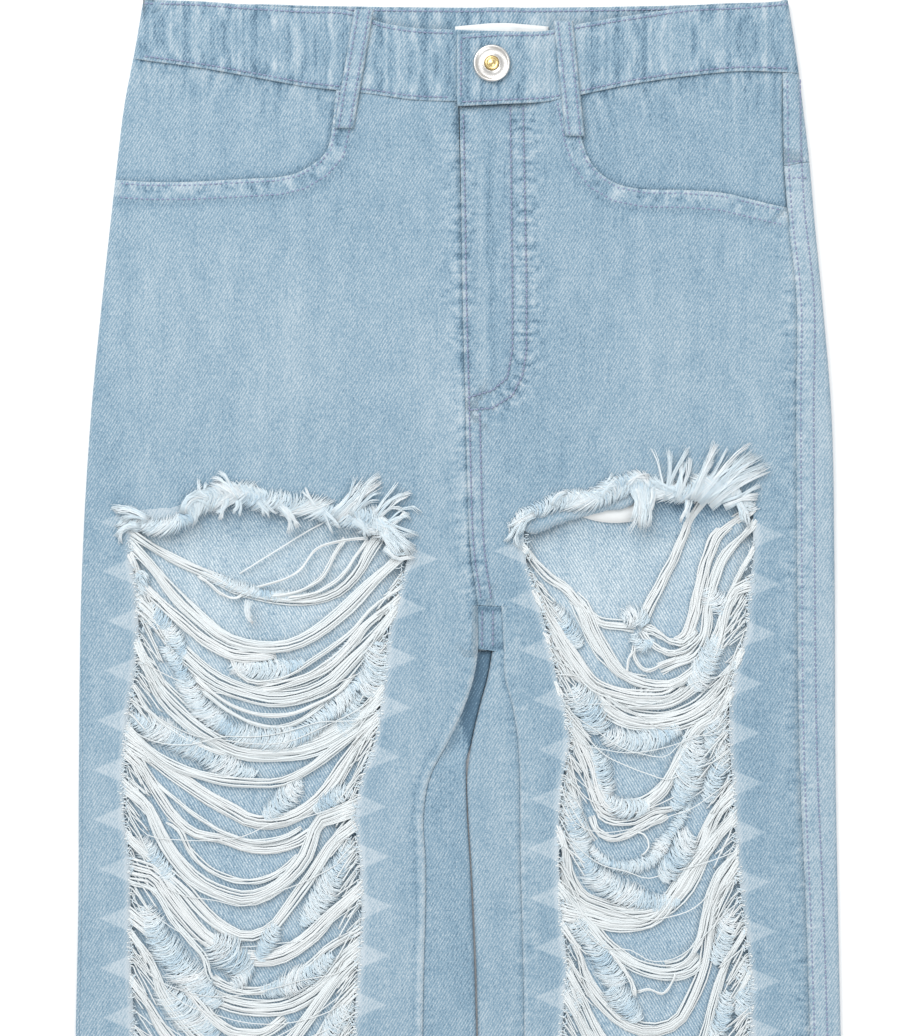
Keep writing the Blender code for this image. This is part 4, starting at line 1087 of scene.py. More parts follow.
# radius, height over the tab
BUTTON_PROFILE = np.array([(9.0, 0.0), (9.6, 0.5), (9.6, 1.6), (9.2, 2.1), (8.7, 2.2), (8.2, 2.0),
                           (7.8, 1.6), (7.0, 1.45), (5.8, 1.5), (4.8, 1.7), (4.4, 2.0),
                           (4.0, 2.05), (3.8, 1.6), (0.0, 1.6)])
CAP_PROFILE = np.array([(3.6, 1.6), (3.6, 2.4), (3.3, 2.8), (2.7, 3.0), (2.4, 2.7), (1.9, 2.6),
                        (1.5, 2.9), (0.8, 3.15), (0.0, 3.2)])


def turned(name, profile, finish, node, slot, sides=64):
    """Turned piece: a profile carried round the button's axis, its ends closed by rings."""
    angles = np.arange(sides) / sides * 2.0 * np.pi
    closed = np.concatenate([[(0.0, profile[0, 1])], profile])
    closed[closed[:, 0] == 0.0, 0] = 0.02
    x = BUTTON_X + closed[:, :1] * np.cos(angles)
    y = BUTTON_Y + closed[:, :1] * np.sin(angles)
    z = BUTTON_FOOT + np.broadcast_to(closed[:, 1:], x.shape)
    index = np.arange(x.size).reshape(x.shape)
    after = np.roll(index, -1, axis=1)
    faces = np.stack([index[:-1], after[:-1], after[1:], index[1:]], axis=-1).reshape(-1, 4)
    made = make_mesh(name, np.stack([x, y, z], axis=-1).reshape(-1, 3), faces)
    made.data.materials.append(finish)
    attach(made, "root")
    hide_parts(node)
    return made



def metal(name, roughness, scale, detail, gain, stops):
    """Worn metal: a fine noise between two colours, which also dents it a little."""
    finish = Finish(name, roughness=roughness, metallic=1.0)
    at, _, _ = finish.place()
    wear = (finish.noise(at, (scale, scale, scale), detail=detail) * gain + 0.6).clamped()
    return finish.lit(finish.ramp(stops, wear), wear, depth=0.00005, strength=0.3)


STEEL = metal("button_steel", 0.34, 0.9, 4.0, 0.2, ((0.0, (0.42, 0.41, 0.39)),
                                                    (1.0, (0.86, 0.85, 0.83))))
turned("button_disc", BUTTON_PROFILE, STEEL, "button", "button_metal")
BRASS = metal("cap_brass", 0.24, 1.2, 3.0, 0.25, ((0.0, (0.45, 0.28, 0.09)),
                                                  (1.0, (0.95, 0.78, 0.40))))
turned("button_centre", CAP_PROFILE, BRASS, "button_cap", "button_cap_metal", sides=48)

# Loose threads
# Where the twill is torn, its blue warp is gone and the off-white weft is left, slack, hanging
# across in swags. Yarns gather into ropes, and ropes into bundles with a gap under each.
draw = np.random.default_rng(41)
YARN_STEPS, TUBE_SIDES = 26, 3
# How many strays lie in each rip, freed yarns at each of its sides, and fine ends there
STRAYS, FREED_YARNS, FINE_ENDS = 18, 210, 300


def tubes(name, paths, radii, finish, nodes=(), values=None):
    """Many thin tubes in one mesh: rings of points round each path, joined along it.

    paths is tubes by steps by xyz in millimetres and radii is tubes by steps. Each ring is
    turned to the path: one arm lies level across it, the other stands square to both.
    """
    count, steps = paths.shape[:2]
    run = np.gradient(paths, axis=1)
    run /= np.linalg.norm(run, axis=2, keepdims=True) + 1e-9
    level = np.stack([-run[..., 1], run[..., 0], np.zeros(run.shape[:2])], axis=-1)
    level /= np.linalg.norm(level, axis=2, keepdims=True) + 1e-9
    stand = np.cross(run, level)
    angles = np.arange(TUBE_SIDES) / TUBE_SIDES * 2.0 * np.pi + 0.5
    ring = (level[:, :, None] * np.cos(angles)[None, None, :, None]
            + stand[:, :, None] * np.sin(angles)[None, None, :, None])
    points = paths[:, :, None] + ring * radii[:, :, None, None]
    index = np.arange(count * steps * TUBE_SIDES).reshape(count, steps, TUBE_SIDES)
    after = np.roll(index, -1, axis=2)
    faces = np.stack([index[:, :-1], after[:, :-1], after[:, 1:], index[:, 1:]], axis=-1)
    ends = np.concatenate([index[:, 0, ::-1], index[:, -1]])
    carried = {key: np.repeat(np.broadcast_to(value, (count, steps)).ravel(), TUBE_SIDES)
               for key, value in (values or {}).items()}
    made = make_mesh(name, points.reshape(-1, 3), [faces.reshape(-1, 4), ends], carried)
    made.data.materials.append(finish)
    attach(made, "root")
    if nodes:
        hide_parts(*nodes)
    return made


def yarn_finish(name, stops):
    """Soft cotton yarn: the tone of each yarn, with a fine uneven spin along it."""
    finish = Finish(name, roughness=0.95, sheen=0.2)
    at, _, _ = finish.place()
    tone = finish.value("tint") + finish.noise(at, (1.6, 1.6, 1.6)) * 0.10
    return finish.lit(finish.ramp(stops, tone.clamped()), finish.noise(at, (3.0, 3.0, 3.0)),
                      depth=0.0001, strength=0.4)


WHITE_YARN = yarn_finish("weft_yarn", ((0.0, (0.63, 0.72, 0.78)), (0.4, (0.72, 0.78, 0.80)),
                                       (1.0, (0.75, 0.78, 0.79))))
TUFT_YARN = yarn_finish("torn_yarn", ((0.0, (0.45, 0.61, 0.73)), (0.45, (0.68, 0.79, 0.85)),
                                      (1.0, (0.83, 0.87, 0.89))))

# One pixel of the photograph in millimetres, and the pixels of the jeans' middle and hem
PIXEL, PHOTO_MIDDLE, PHOTO_HEM = 0.52, 458.0, 2015.0
# Heights of the ropes' bed on the back panel, of ends under the torn edge and of ends tucked away
BED, UNDER_TORN_Z, TUCKED_Z = 1.9, 4.2, 0.8
YARN_SPACING, YARN_RADIUS, STRAY_RADIUS, FREED_RADIUS = 0.58, 0.50, 0.30, 0.38
# How near a side a rope's end belongs to it, and above which height an end hangs from the torn edge
SIDE_REACH, TORN_REACH = 9.0, 752.0
# Height over the rip's foot from which ropes hang as deep as those above
SAG_ROOM = 34.0

# Ropes as they lie in the photograph: width in millimetres, then pixels along the rope
ROPES = {
    "R": (
        (4.6, (131, 530), (162, 552), (189, 566), (215, 577), (238, 589), (274, 598), (314, 600),
         (340, 590), (358, 572), (370, 550), (380, 536)),
        (1.5, (262, 597), (300, 591), (323, 576), (334, 556), (345, 538)),
        (1.5, (280, 599), (318, 592), (342, 576), (356, 556), (368, 540)),
        (0.9, (250, 590), (300, 570), (318, 548), (340, 541), (368, 538)),
        (0.5, (236, 576), (268, 556), (300, 536), (325, 522)),
        (1.0, (196, 574), (208, 582), (222, 594), (236, 598), (246, 592)),
        (7.2, (126, 541), (150, 566), (172, 590), (200, 618), (226, 638), (256, 647), (286, 646),
         (318, 632), (345, 610), (368, 588), (392, 566), (412, 548)),
        (5.0, (122, 552), (140, 582), (163, 605), (187, 626), (210, 644), (236, 656), (262, 657),
         (284, 652)),
        (2.0, (400, 584), (372, 606), (352, 630), (330, 648), (312, 660), (296, 671), (272, 680),
         (250, 681), (238, 672), (231, 655), (218, 648), (196, 634)),
        (8.2, (128, 600), (146, 616), (165, 636), (190, 660), (215, 680), (245, 692), (275, 698),
         (305, 694), (333, 680), (352, 660), (372, 635), (392, 606)),
        (4.5, (250, 690), (285, 684), (318, 672), (345, 650), (366, 625), (392, 596)),
        (1.6, (186, 668), (210, 690), (235, 706), (262, 714), (290, 714), (314, 705), (338, 692),
         (360, 668)),
        (2.1, (190, 680), (215, 700), (240, 717), (268, 727), (292, 724), (318, 708), (336, 694)),
        (11.0, (130, 640), (144, 668), (158, 688), (182, 712), (208, 733), (240, 749), (275, 752),
         (310, 747), (340, 733), (362, 716), (386, 690)),
        (2.0, (126, 684), (150, 712), (178, 733), (208, 748), (235, 757)),
        (4.2, (118, 726), (150, 752), (180, 768), (215, 778), (250, 782), (285, 780), (312, 766),
         (335, 748), (356, 732), (380, 712)),
        (7.2, (386, 716), (366, 738), (348, 762), (330, 788), (312, 806), (290, 818), (268, 822),
         (250, 820), (232, 810), (210, 798), (186, 782), (160, 764), (122, 738)),
        (5.2, (118, 748), (140, 768), (160, 795), (177, 818), (195, 833), (222, 838), (246, 847),
         (272, 848), (296, 842), (312, 832), (330, 818), (360, 808)),
        (2.0, (150, 776), (180, 802), (205, 820), (230, 834), (255, 841), (285, 836), (308, 824)),
        (7.4, (118, 782), (146, 806), (160, 832), (178, 860), (198, 880), (222, 892), (246, 898),
         (268, 892), (290, 876), (306, 856), (314, 836), (320, 822), (340, 814), (362, 806)),
        (3.0, (160, 818), (178, 828), (190, 850), (205, 866), (230, 878), (258, 880), (285, 868),
         (304, 850)),
        (6.2, (362, 822), (336, 842), (320, 864), (304, 886), (288, 908), (270, 928), (246, 936),
         (222, 926), (200, 906), (184, 888), (166, 872), (146, 856), (120, 830)),
        (8.4, (122, 866), (150, 874), (168, 894), (186, 916), (205, 936), (228, 950), (256, 958),
         (284, 954), (306, 940), (328, 920), (348, 902), (368, 884)),
        (2.6, (122, 880), (156, 892), (170, 914), (188, 936), (204, 956), (212, 978), (228, 986)),
        (8.4, (122, 912), (146, 930), (166, 952), (186, 974), (206, 992), (230, 1003), (258, 1008),
         (286, 1006), (310, 994), (330, 978), (346, 960), (368, 944)),
        (4.2, (206, 976), (232, 988), (262, 990), (288, 980), (312, 962), (330, 944), (352, 926)),
        (6.0, (122, 930), (150, 966), (162, 992), (180, 1016), (202, 1038), (230, 1052),
         (262, 1054), (288, 1042), (306, 1020), (322, 998), (340, 976), (366, 952)),
        (5.0, (176, 974), (192, 992), (210, 1014), (232, 1030), (262, 1032), (290, 1014)),
        (6.0, (122, 976), (144, 1004), (164, 1032), (188, 1056), (220, 1074), (256, 1080),
         (292, 1068), (318, 1040), (338, 1010), (366, 984)),
    ),
    "L": (
        (4.7, (520, 545), (545, 573), (568, 591), (586, 611), (600, 622), (625, 626), (641, 629)),
        (4.7, (707, 492), (690, 519), (679, 544), (668, 569), (655, 594), (643, 616), (636, 632)),
        (3.2, (640, 626), (655, 632), (668, 640), (682, 642), (698, 628)),
        (3.0, (640, 628), (652, 644), (668, 652), (686, 648), (702, 632)),
        (6.2, (736, 505), (722, 525), (706, 560), (698, 590), (692, 618), (684, 638), (670, 646)),
        (5.2, (744, 520), (728, 548), (716, 575), (708, 605), (704, 635), (692, 655), (672, 663),
         (652, 672)),
        (5.2, (750, 545), (736, 575), (726, 605), (718, 632), (706, 655), (692, 672), (672, 684),
         (648, 684), (620, 672), (604, 650), (592, 628), (584, 608), (562, 588)),
        (4.7, (752, 584), (736, 590), (726, 610), (720, 640), (708, 668), (690, 690), (668, 702),
         (640, 704), (612, 698)),
        (4.7, (574, 596), (586, 628), (604, 656), (625, 675), (650, 684)),
        (2.0, (637, 634), (634, 658), (645, 670), (662, 664), (682, 656)),
        (1.2, (634, 648), (628, 660), (626, 674)),
        (7.2, (530, 592), (552, 626), (566, 648), (580, 668), (596, 686), (618, 694), (642, 698),
         (668, 696), (692, 680)),
        (6.2, (538, 636), (566, 668), (590, 684), (604, 704), (612, 724)),
        (10.4, (746, 652), (728, 680), (706, 704), (680, 718), (650, 722), (622, 716), (602, 702),
         (584, 684)),
        (6.2, (742, 690), (716, 716), (696, 728), (684, 748), (672, 772), (660, 790), (640, 804),
         (616, 808)),
        (7.2, (544, 684), (568, 722), (580, 742), (590, 765), (596, 790), (604, 806), (624, 816)),
        (4.0, (548, 724), (566, 762), (576, 800), (586, 828), (596, 846)),
        (3.0, (588, 774), (598, 800), (600, 815), (612, 822), (632, 822), (652, 812), (676, 806),
         (692, 788), (712, 762)),
        (3.2, (590, 812), (598, 832), (612, 838), (628, 834), (650, 822), (670, 812)),
        (0.6, (634, 830), (644, 834), (648, 846), (640, 856)),
        (9.4, (742, 790), (716, 818), (704, 844), (694, 868), (680, 892), (656, 910), (628, 914),
         (600, 908), (578, 898), (566, 880), (560, 852), (548, 826)),
        (7.2, (738, 812), (706, 848), (690, 868), (676, 890), (650, 920), (618, 924), (588, 918),
         (556, 910)),
        (7.2, (552, 884), (590, 926), (610, 948), (634, 964), (660, 972), (688, 968), (706, 950)),
        (4.2, (738, 846), (716, 878), (705, 912), (698, 940), (684, 960), (660, 970)),
        (6.2, (744, 858), (718, 898), (709, 930), (704, 964), (692, 996), (676, 1022), (650, 1030),
         (624, 1022), (604, 1004), (586, 980), (576, 950), (556, 920)),
        (5.4, (750, 926), (724, 968), (712, 1004), (704, 1036), (690, 1060), (660, 1070),
         (630, 1062), (604, 1040), (586, 1012), (556, 966)),
        (1.8, (606, 946), (622, 966), (632, 984), (634, 1000)),
        (1.0, (634, 992), (648, 988), (662, 992), (672, 980), (676, 968)),
        (6.0, (548, 990), (570, 1016), (590, 1040), (612, 1062), (640, 1080), (668, 1080),
         (692, 1064), (712, 1036), (730, 1004), (750, 968)),
    ),
}


def from_photo(pixels):
    """Millimetres from photograph pixels: x from the jeans' middle, heights up from the hem."""
    pixels = np.asarray(pixels, float)
    return np.stack([(pixels[:, 0] - PHOTO_MIDDLE) * PIXEL, (PHOTO_HEM - pixels[:, 1]) * PIXEL],
                    axis=1)


def smooth(route, steps):
    """Even points on a smooth curve through the route's points, its directions and its length."""
    reach = np.concatenate([[0.0], np.cumsum(np.hypot(*np.diff(route, axis=0).T))])
    table = np.column_stack([reach, route])
    at = np.linspace(0.0, reach[-1], steps)
    line = np.stack([follow(table, at, 1), follow(table, at, 2)], axis=1)
    run = np.gradient(line, axis=0)
    run /= np.hypot(run[:, 0], run[:, 1])[:, None]
    return line, run, reach[-1]


def way_out(side, point):
    """The way out of a rip, -1 or 1 in x, for a point near one of its side edges, or else 0."""
    first, second = (abs(point[0] - straight(RIP_EDGES, point[1], column))
                     for column in RIP_SIDES[side])
    return 0 if min(first, second) > SIDE_REACH else (-1 if first < second else 1)


def rope(side, route, width, layer=0.0, radius=YARN_RADIUS, far_end=True):
    """Yarns side by side along a route: evenly over its width, drifting, opened out at both ends.

    They lie on the back panel, domed across the rope. At a rip's side they rise onto the cloth
    and sink into it, and an end in the middle of a rip is tucked away under the others. far_end
    tells whether the route's last point may lie at a side.
    """
    line, run, _ = smooth(route, YARN_STEPS)
    across = np.stack([-run[:, 1], run[:, 0]], axis=1)
    count = max(1, round(width / YARN_SPACING))
    u = np.linspace(0.0, 1.0, YARN_STEPS)
    spot = ((np.arange(count) + 0.5) / count - 0.5)[:, None] + draw.normal(0.0, 0.03, (count, 1))
    phase = draw.uniform(0.0, 2.0 * np.pi, (4, count, 1))
    drift = (0.34 * np.sin(5.0 * u + phase[0]) + 0.28 * np.sin(13.0 * u + phase[1])
             + 0.20 * np.sin(33.0 * u + phase[3]))
    open_out = 1.0 + 0.55 * np.abs(2.0 * u - 1.0) ** 4
    offset = spot * width * open_out + drift * min(1.0, width / 3.0)
    plan = line + across * offset[..., None]
    z = BED + layer + 0.9 * (1.0 - 4.0 * spot ** 2) + 0.16 * np.sin(8.0 * u + phase[2])
    z = z + draw.uniform(-0.12, 0.12, (count, 1))
    for end, near, share in ((0, 1.0 - ease(u, 0.0, 0.25), 1.0 - ease(u, 0.03, 0.11)),
                             (-1, ease(u, 0.75, 1.0), ease(u, 0.89, 0.97))):
        way = way_out(side, line[end]) if end == 0 or far_end else 0
        cloth_z = stack_height(line[end, 1])
        high = cloth_z + 0.4 if way else (UNDER_TORN_Z if line[end, 1] > TORN_REACH else TUCKED_Z)
        z = z + (high - z) * share
        if way:
            z[:, end] = cloth_z - 0.5
            column = RIP_SIDES[side][(way + 1) // 2]
            edge = straight(RIP_EDGES, plan[:, end, 1], column) + way * draw.uniform(0.2, 2.6, count)
            plan[..., 0] += (edge - plan[:, end, 0])[:, None] * near
    radii = radius * draw.uniform(0.85, 1.15, (count, 1)) * np.ones(YARN_STEPS)
    tint = draw.uniform(0.6, 0.9) + draw.uniform(-0.22, 0.12, count)
    return np.concatenate([plan, z[..., None]], axis=2), radii, tint


def hanging(side, left_y, right_y, sag, low):
    """Route of a slack rope from one side of a rip to the other, lowest at the share low."""
    u = np.array([0.0, 0.1, 0.24, 0.38, 0.5, 0.62, 0.76, 0.9, 1.0])
    left, right = RIP_SIDES[side]
    x0 = straight(RIP_EDGES, left_y, left)
    x1 = straight(RIP_EDGES, right_y, right)
    bent = u ** (np.log(0.5) / np.log(low))
    hang = (4.0 * bent * (1.0 - bent)) ** 0.9
    return np.stack([x0 + (x1 - x0) * u, left_y + (right_y - left_y) * u - sag * hang], axis=1)


TIER_TOP, TIER_PITCH, TIERS = 505.0, 25.0, 4
# width, height from the tier's middle of each rope in a tier
TIER_ROPES = ((8.0, 0.0), (5.0, -9.0), (3.0, -15.0), (1.4, -20.0))


def lower_ropes(side):
    """Ropes below the photograph: tiers like those above, the last ones shallow."""
    parts = []
    for tier in range(TIERS):
        middle = TIER_TOP - TIER_PITCH * tier
        fit = min(1.0, (middle - KNEE_END - 6.0) / SAG_ROOM)
        for width, shift in TIER_ROPES:
            left_y = middle + shift + draw.uniform(-3.0, 3.0)
            right_y = left_y + draw.uniform(-8.0, 6.0)
            fit_here = min(fit, max(0.1, (min(left_y, right_y) - KNEE_END - 6.0) / SAG_ROOM))
            route = hanging(side, max(left_y, KNEE_END + 4.0), max(right_y, KNEE_END + 4.0),
                            draw.uniform(24.0, 34.0) * fit_here, draw.uniform(0.42, 0.58))
            parts.append(rope(side, route, width, draw.uniform(0.0, 1.2)))
    return parts


def stray_yarns(side, count):
    """Single yarns that cross from rope to rope, each its own way, over the others."""
    parts = []
    for _ in range(count):
        left_y = draw.uniform(KNEE_END + 30.0, 715.0)
        right_y = left_y + draw.uniform(-24.0, 24.0)
        fit = min(1.0, (min(left_y, right_y) - KNEE_END - 5.0) / SAG_ROOM)
        route = hanging(side, left_y, right_y, draw.uniform(12.0, 34.0) * fit, draw.uniform(0.3, 0.7))
        route[1:-1, 1] += draw.normal(0.0, 1.3, len(route) - 2)
        parts.append(rope(side, route, 0.5, draw.uniform(0.6, 2.2), STRAY_RADIUS))
    return parts


def edge_yarns(side, count):
    """Yarns just freed at both sides of a rip: they leave the cloth, drop and bend inwards."""
    parts = []
    for column, inward in zip(RIP_SIDES[side], (1.0, -1.0)):
        for y in draw.uniform(KNEE_END + 12.0, TORN_REACH, count):
            x = straight(RIP_EDGES, y, column)
            long = draw.uniform(7.0, 20.0) * min(1.0, (y - KNEE_END) / 30.0)
            slope = draw.uniform(0.5, 1.6)
            share = np.array([-0.12, 0.0, 0.3, 0.65, 1.0])
            route = np.stack([x + inward * long * 0.75 * share,
                              y - long * slope * np.maximum(share, 0.0) ** 1.15], axis=1)
            parts.append(rope(side, route, 0.5, draw.uniform(0.4, 1.6), FREED_RADIUS, far_end=False))
    return parts


for side in ("R", "L"):
    parts = [rope(side, from_photo(row[1:]), row[0], 0.35 * (number % 4) + (0.6 if row[0] < 2.5 else 0.0))
             for number, row in enumerate(ROPES[side])]
    parts += lower_ropes(side) + stray_yarns(side, STRAYS) + edge_yarns(side, FREED_YARNS)
    paths, radii, tints = (np.concatenate(part) for part in zip(*parts))
    tubes(f"rip_yarns_{side}", paths, radii, WHITE_YARN,
          nodes=[f"rip_threads_{side}"], values={"tint": tints[:, None]})

# Torn tufts
# What is left of the torn cloth: warp yarns combed into soft rolls, along the upper edge of each
# rip, at its sides and among the ropes. Locks of them stand out of the roll on the upper edge.
HAIR_STEPS, HAIR_RADIUS, ARC_SPACING, ROLL_STEPS = 6, 0.21, 0.19, 80

# Rolls: thickness and rise in millimetres, lean, then pixels along the roll
EDGE_ROLLS = {
    "R": ((10.5, 2.4, 1.1, (120, 522), (140, 524), (160, 526), (184, 521), (197, 506), (215, 498),
           (240, 496), (262, 500), (290, 503), (318, 510), (340, 517), (366, 524), (388, 534),
           (402, 546)),
          (7.0, 2.8, -0.9, (186, 512), (200, 500), (218, 492), (244, 491), (268, 494)),
          (9.0, 2.8, -1.0, (338, 510), (362, 514), (384, 528), (404, 546))),
    "L": ((9.5, 2.4, 1.1, (510, 531), (521, 518), (545, 506), (571, 499), (596, 500), (616, 490),
           (636, 486), (656, 490), (672, 493), (694, 491), (714, 491), (734, 497), (752, 510)),
          (7.5, 2.8, -0.9, (560, 498), (590, 498), (614, 484), (640, 480), (662, 488)),
          (9.0, 2.8, -1.0, (690, 486), (716, 484), (738, 492))),
}
ROLLS = {
    "R": ((5.5, 1.6, 0.5, (202, 572), (222, 580), (246, 590), (278, 596), (308, 594)),
          (9.5, 1.6, 0.2, (230, 664), (252, 669), (276, 670), (304, 662)),
          (10.0, 1.7, 0.4, (164, 646), (182, 672), (196, 700), (216, 720), (242, 735), (272, 739),
           (300, 735), (322, 718), (345, 698), (364, 676)),
          (5.0, 1.4, 0.2, (318, 674), (345, 650), (364, 626)),
          (11.0, 2.0, 0.3, (114, 710), (142, 722), (172, 736), (200, 752), (226, 766), (254, 774)),
          (12.0, 2.4, 0.2, (131, 608), (134, 592), (143, 574)),
          (14.0, 2.4, 0.2, (134, 602), (150, 613), (168, 628)),
          (8.0, 1.6, 0.3, (166, 622), (176, 640), (186, 658)),
          (13.0, 2.6, 0.2, (379, 640), (378, 668), (366, 694)),
          (10.0, 1.8, 0.3, (362, 694), (352, 715), (338, 736)),
          (10.0, 1.6, 0.3, (302, 780), (284, 800), (266, 816)),
          (9.0, 1.8, 0.3, (354, 788), (334, 798), (316, 810)),
          (10.0, 1.8, 0.3, (136, 836), (156, 860), (174, 884)),
          (11.0, 2.0, 0.3, (352, 838), (342, 862), (330, 884), (316, 906), (302, 924)),
          (9.0, 2.2, 0.2, (278, 924), (268, 942), (260, 958)),
          (18.5, 4.0, 0.1, (210, 938), (229, 953), (246, 968)),
          (8.0, 2.0, 0.2, (232, 986), (242, 976), (252, 964)),
          (14.0, 2.0, 0.3, (144, 904), (158, 934), (176, 960), (198, 984), (218, 1004)),
          (15.0, 2.2, 0.3, (160, 984), (180, 1004), (198, 1018), (216, 1040)),
          (10.0, 1.8, 0.3, (334, 954), (312, 972), (288, 984), (262, 992)),
          (9.0, 1.8, 0.3, (354, 1000), (338, 1020), (322, 1044)),
          (11.0, 1.8, 0.3, (226, 1084), (260, 1096), (300, 1088), (330, 1068)),
          (11.0, 1.8, 0.3, (150, 1090), (176, 1118), (210, 1138), (250, 1146))),
    "L": ((10.0, 1.8, 0.3, (546, 604), (562, 622), (578, 646)),
          (9.0, 2.4, 0.1, (621, 620), (632, 616), (646, 622)),
          (6.0, 2.0, 0.2, (632, 634), (642, 646), (652, 640)),
          (9.0, 1.8, 0.2, (628, 692), (652, 700), (676, 698)),
          (16.0, 2.4, 0.2, (568, 686), (586, 706), (598, 730)),
          (11.0, 1.8, 0.3, (718, 636), (706, 664), (692, 688)),
          (9.0, 2.0, 0.2, (704, 588), (716, 602), (728, 618)),
          (11.0, 1.8, 0.1, (602, 733), (630, 742), (656, 739), (678, 728)),
          (13.0, 2.0, 0.3, (696, 734), (692, 760), (686, 784), (674, 808)),
          (12.0, 2.0, 0.3, (590, 744), (600, 770), (602, 796)),
          (12.0, 2.0, 0.3, (566, 790), (574, 820), (582, 850)),
          (9.0, 2.0, 0.2, (602, 798), (622, 808), (648, 806)),
          (6.5, 1.4, 0.0, (588, 846), (606, 862), (628, 867), (650, 860), (664, 842), (680, 818),
           (692, 796)),
          (11.0, 1.8, 0.3, (572, 836), (586, 864), (606, 884), (632, 896), (656, 902), (678, 900)),
          (12.0, 1.8, 0.3, (692, 832), (678, 856), (662, 878)),
          (13.0, 2.4, 0.2, (562, 904), (574, 922), (586, 938)),
          (13.0, 2.0, 0.3, (588, 934), (604, 960), (618, 984)),
          (12.0, 2.0, 0.3, (608, 986), (624, 1002), (636, 1018)),
          (14.0, 2.4, 0.3, (560, 948), (562, 980), (574, 1012)),
          (15.0, 2.4, 0.3, (748, 956), (751, 985), (742, 1016)),
          (9.0, 2.0, 0.3, (730, 908), (724, 940), (714, 962)),
          (10.0, 2.0, 0.3, (724, 700), (716, 724), (708, 750)),
          (10.0, 2.0, 0.3, (728, 742), (718, 770), (706, 800)),
          (9.0, 2.0, 0.3, (728, 990), (722, 1018), (712, 1044)),
          (11.0, 1.8, 0.3, (570, 1060), (600, 1090), (640, 1104), (690, 1094)),
          (11.0, 1.8, 0.3, (724, 1060), (706, 1090), (680, 1116))),
}
# Locks: width in millimetres at the root, then pixels from root to tip
LOCKS = {
    "R": ((4.5, (238, 500), (231, 486), (222, 475), (213, 471)),
          (3.5, (210, 500), (203, 488), (206, 480)),
          (7.5, (334, 518), (348, 504), (361, 490), (374, 476)),
          (4.5, (352, 516), (362, 500), (372, 488), (381, 484)),
          (5.5, (376, 518), (388, 504), (398, 496), (410, 491)),
          (4.0, (388, 526), (400, 516), (410, 512), (416, 516)),
          (4.5, (150, 520), (138, 514), (126, 511), (114, 511)),
          (4.0, (142, 526), (130, 527), (121, 534), (119, 542)),
          (3.5, (228, 498), (226, 510), (222, 521)),
          (3.5, (240, 500), (238, 510), (236, 516)),
          (4.5, (260, 500), (268, 511), (273, 517)),
          (4.0, (282, 505), (290, 517), (296, 529)),
          (3.5, (324, 511), (332, 521), (338, 530)),
          (5.0, (356, 518), (364, 530), (366, 540)),
          (8.0, (372, 520), (388, 528), (402, 540), (413, 549)),
          (6.0, (384, 530), (392, 546), (396, 560)),
          (2.0, (316, 508), (308, 496), (298, 490)),
          (5.5, (186, 514), (190, 502), (200, 494), (214, 492)),
          (4.0, (250, 600), (248, 612), (252, 623)),
          (3.0, (384, 548), (398, 556), (412, 552))),
    "L": ((3.5, (664, 500), (667, 480), (671, 460), (675, 442)),
          (4.5, (674, 500), (681, 482), (689, 457)),
          (5.0, (690, 500), (699, 480), (707, 460), (718, 441)),
          (7.5, (696, 502), (714, 482), (730, 462), (746, 446)),
          (7.5, (706, 504), (726, 488), (746, 474), (767, 465)),
          (5.0, (722, 506), (736, 499), (748, 492), (758, 486)),
          (8.5, (640, 484), (643, 506), (640, 532)),
          (7.0, (634, 486), (640, 502), (644, 524)),
          (5.0, (652, 488), (650, 502), (648, 514)),
          (4.5, (534, 514), (522, 520), (512, 532)),
          (3.5, (524, 520), (514, 532), (509, 546)),
          (4.0, (552, 506), (556, 498), (566, 492)),
          (4.5, (600, 498), (608, 484), (618, 474)),
          (4.0, (626, 486), (636, 476), (646, 472)),
          (3.5, (688, 500), (686, 512), (682, 522)),
          (4.0, (736, 500), (742, 512), (746, 526)),
          (4.0, (676, 492), (660, 486), (650, 478)),
          (2.5, (724, 486), (728, 470), (738, 456))),
}


def roll(route, thick, rise, lean, base):
    """Combed roll: arcs over a soft core, square to the route, bowed and leaning along it.

    Each arc runs from one side of the roll to the other over its top, at a height of the rise
    times the square root of one less the square of its share. The roll narrows at both ends.
    """
    line, run, length = smooth(route, ROLL_STEPS)
    count = int(length / ARC_SPACING)
    u = (np.arange(count) + draw.uniform(0.0, 1.0, count)) / count
    at = np.linspace(0.0, 1.0, ROLL_STEPS)
    middle = np.stack([np.interp(u, at, line[:, 0]), np.interp(u, at, line[:, 1])], axis=1)
    ahead = np.stack([np.interp(u, at, run[:, 0]), np.interp(u, at, run[:, 1])], axis=1)
    across = np.stack([-ahead[:, 1], ahead[:, 0]], axis=1)
    barrel = np.sqrt(1.0 - 0.85 * (2.0 * u - 1.0) ** 2)
    v = np.linspace(-1.0, 1.0, HAIR_STEPS)
    slow = np.sin(length * u / 7.0 + draw.uniform(0.0, 6.0)) + np.sin(length * u / 3.1)
    half = thick / 2.0 * barrel * draw.uniform(0.80, 1.36, count) * (1.0 + 0.10 * slow)
    tilt = lean * (0.6 + 0.35 * slow) + draw.normal(0.0, 0.22, count)
    bow = 0.35 + 0.15 * np.sin(length * u / 11.0)
    forward = half[:, None] * (bow[:, None] * (1.0 - v * v) + tilt[:, None] * v)
    sideways = half[:, None] * v + draw.normal(0.0, 0.5, (count, 1))
    plan = middle[:, None] + ahead[:, None] * forward[..., None] + across[:, None] * sideways[..., None]
    crown = rise * draw.uniform(0.7, 1.06, (count, 1)) * barrel[:, None]
    level = base(plan[..., 1]) if callable(base) else base
    z = level + crown * np.sqrt(1.0 - 0.96 * v * v)
    tint = 0.50 + 0.16 * slow + draw.uniform(-0.28, 0.28, count)
    return np.concatenate([plan, z[..., None]], axis=2), tint[:, None] + 0.0 * v


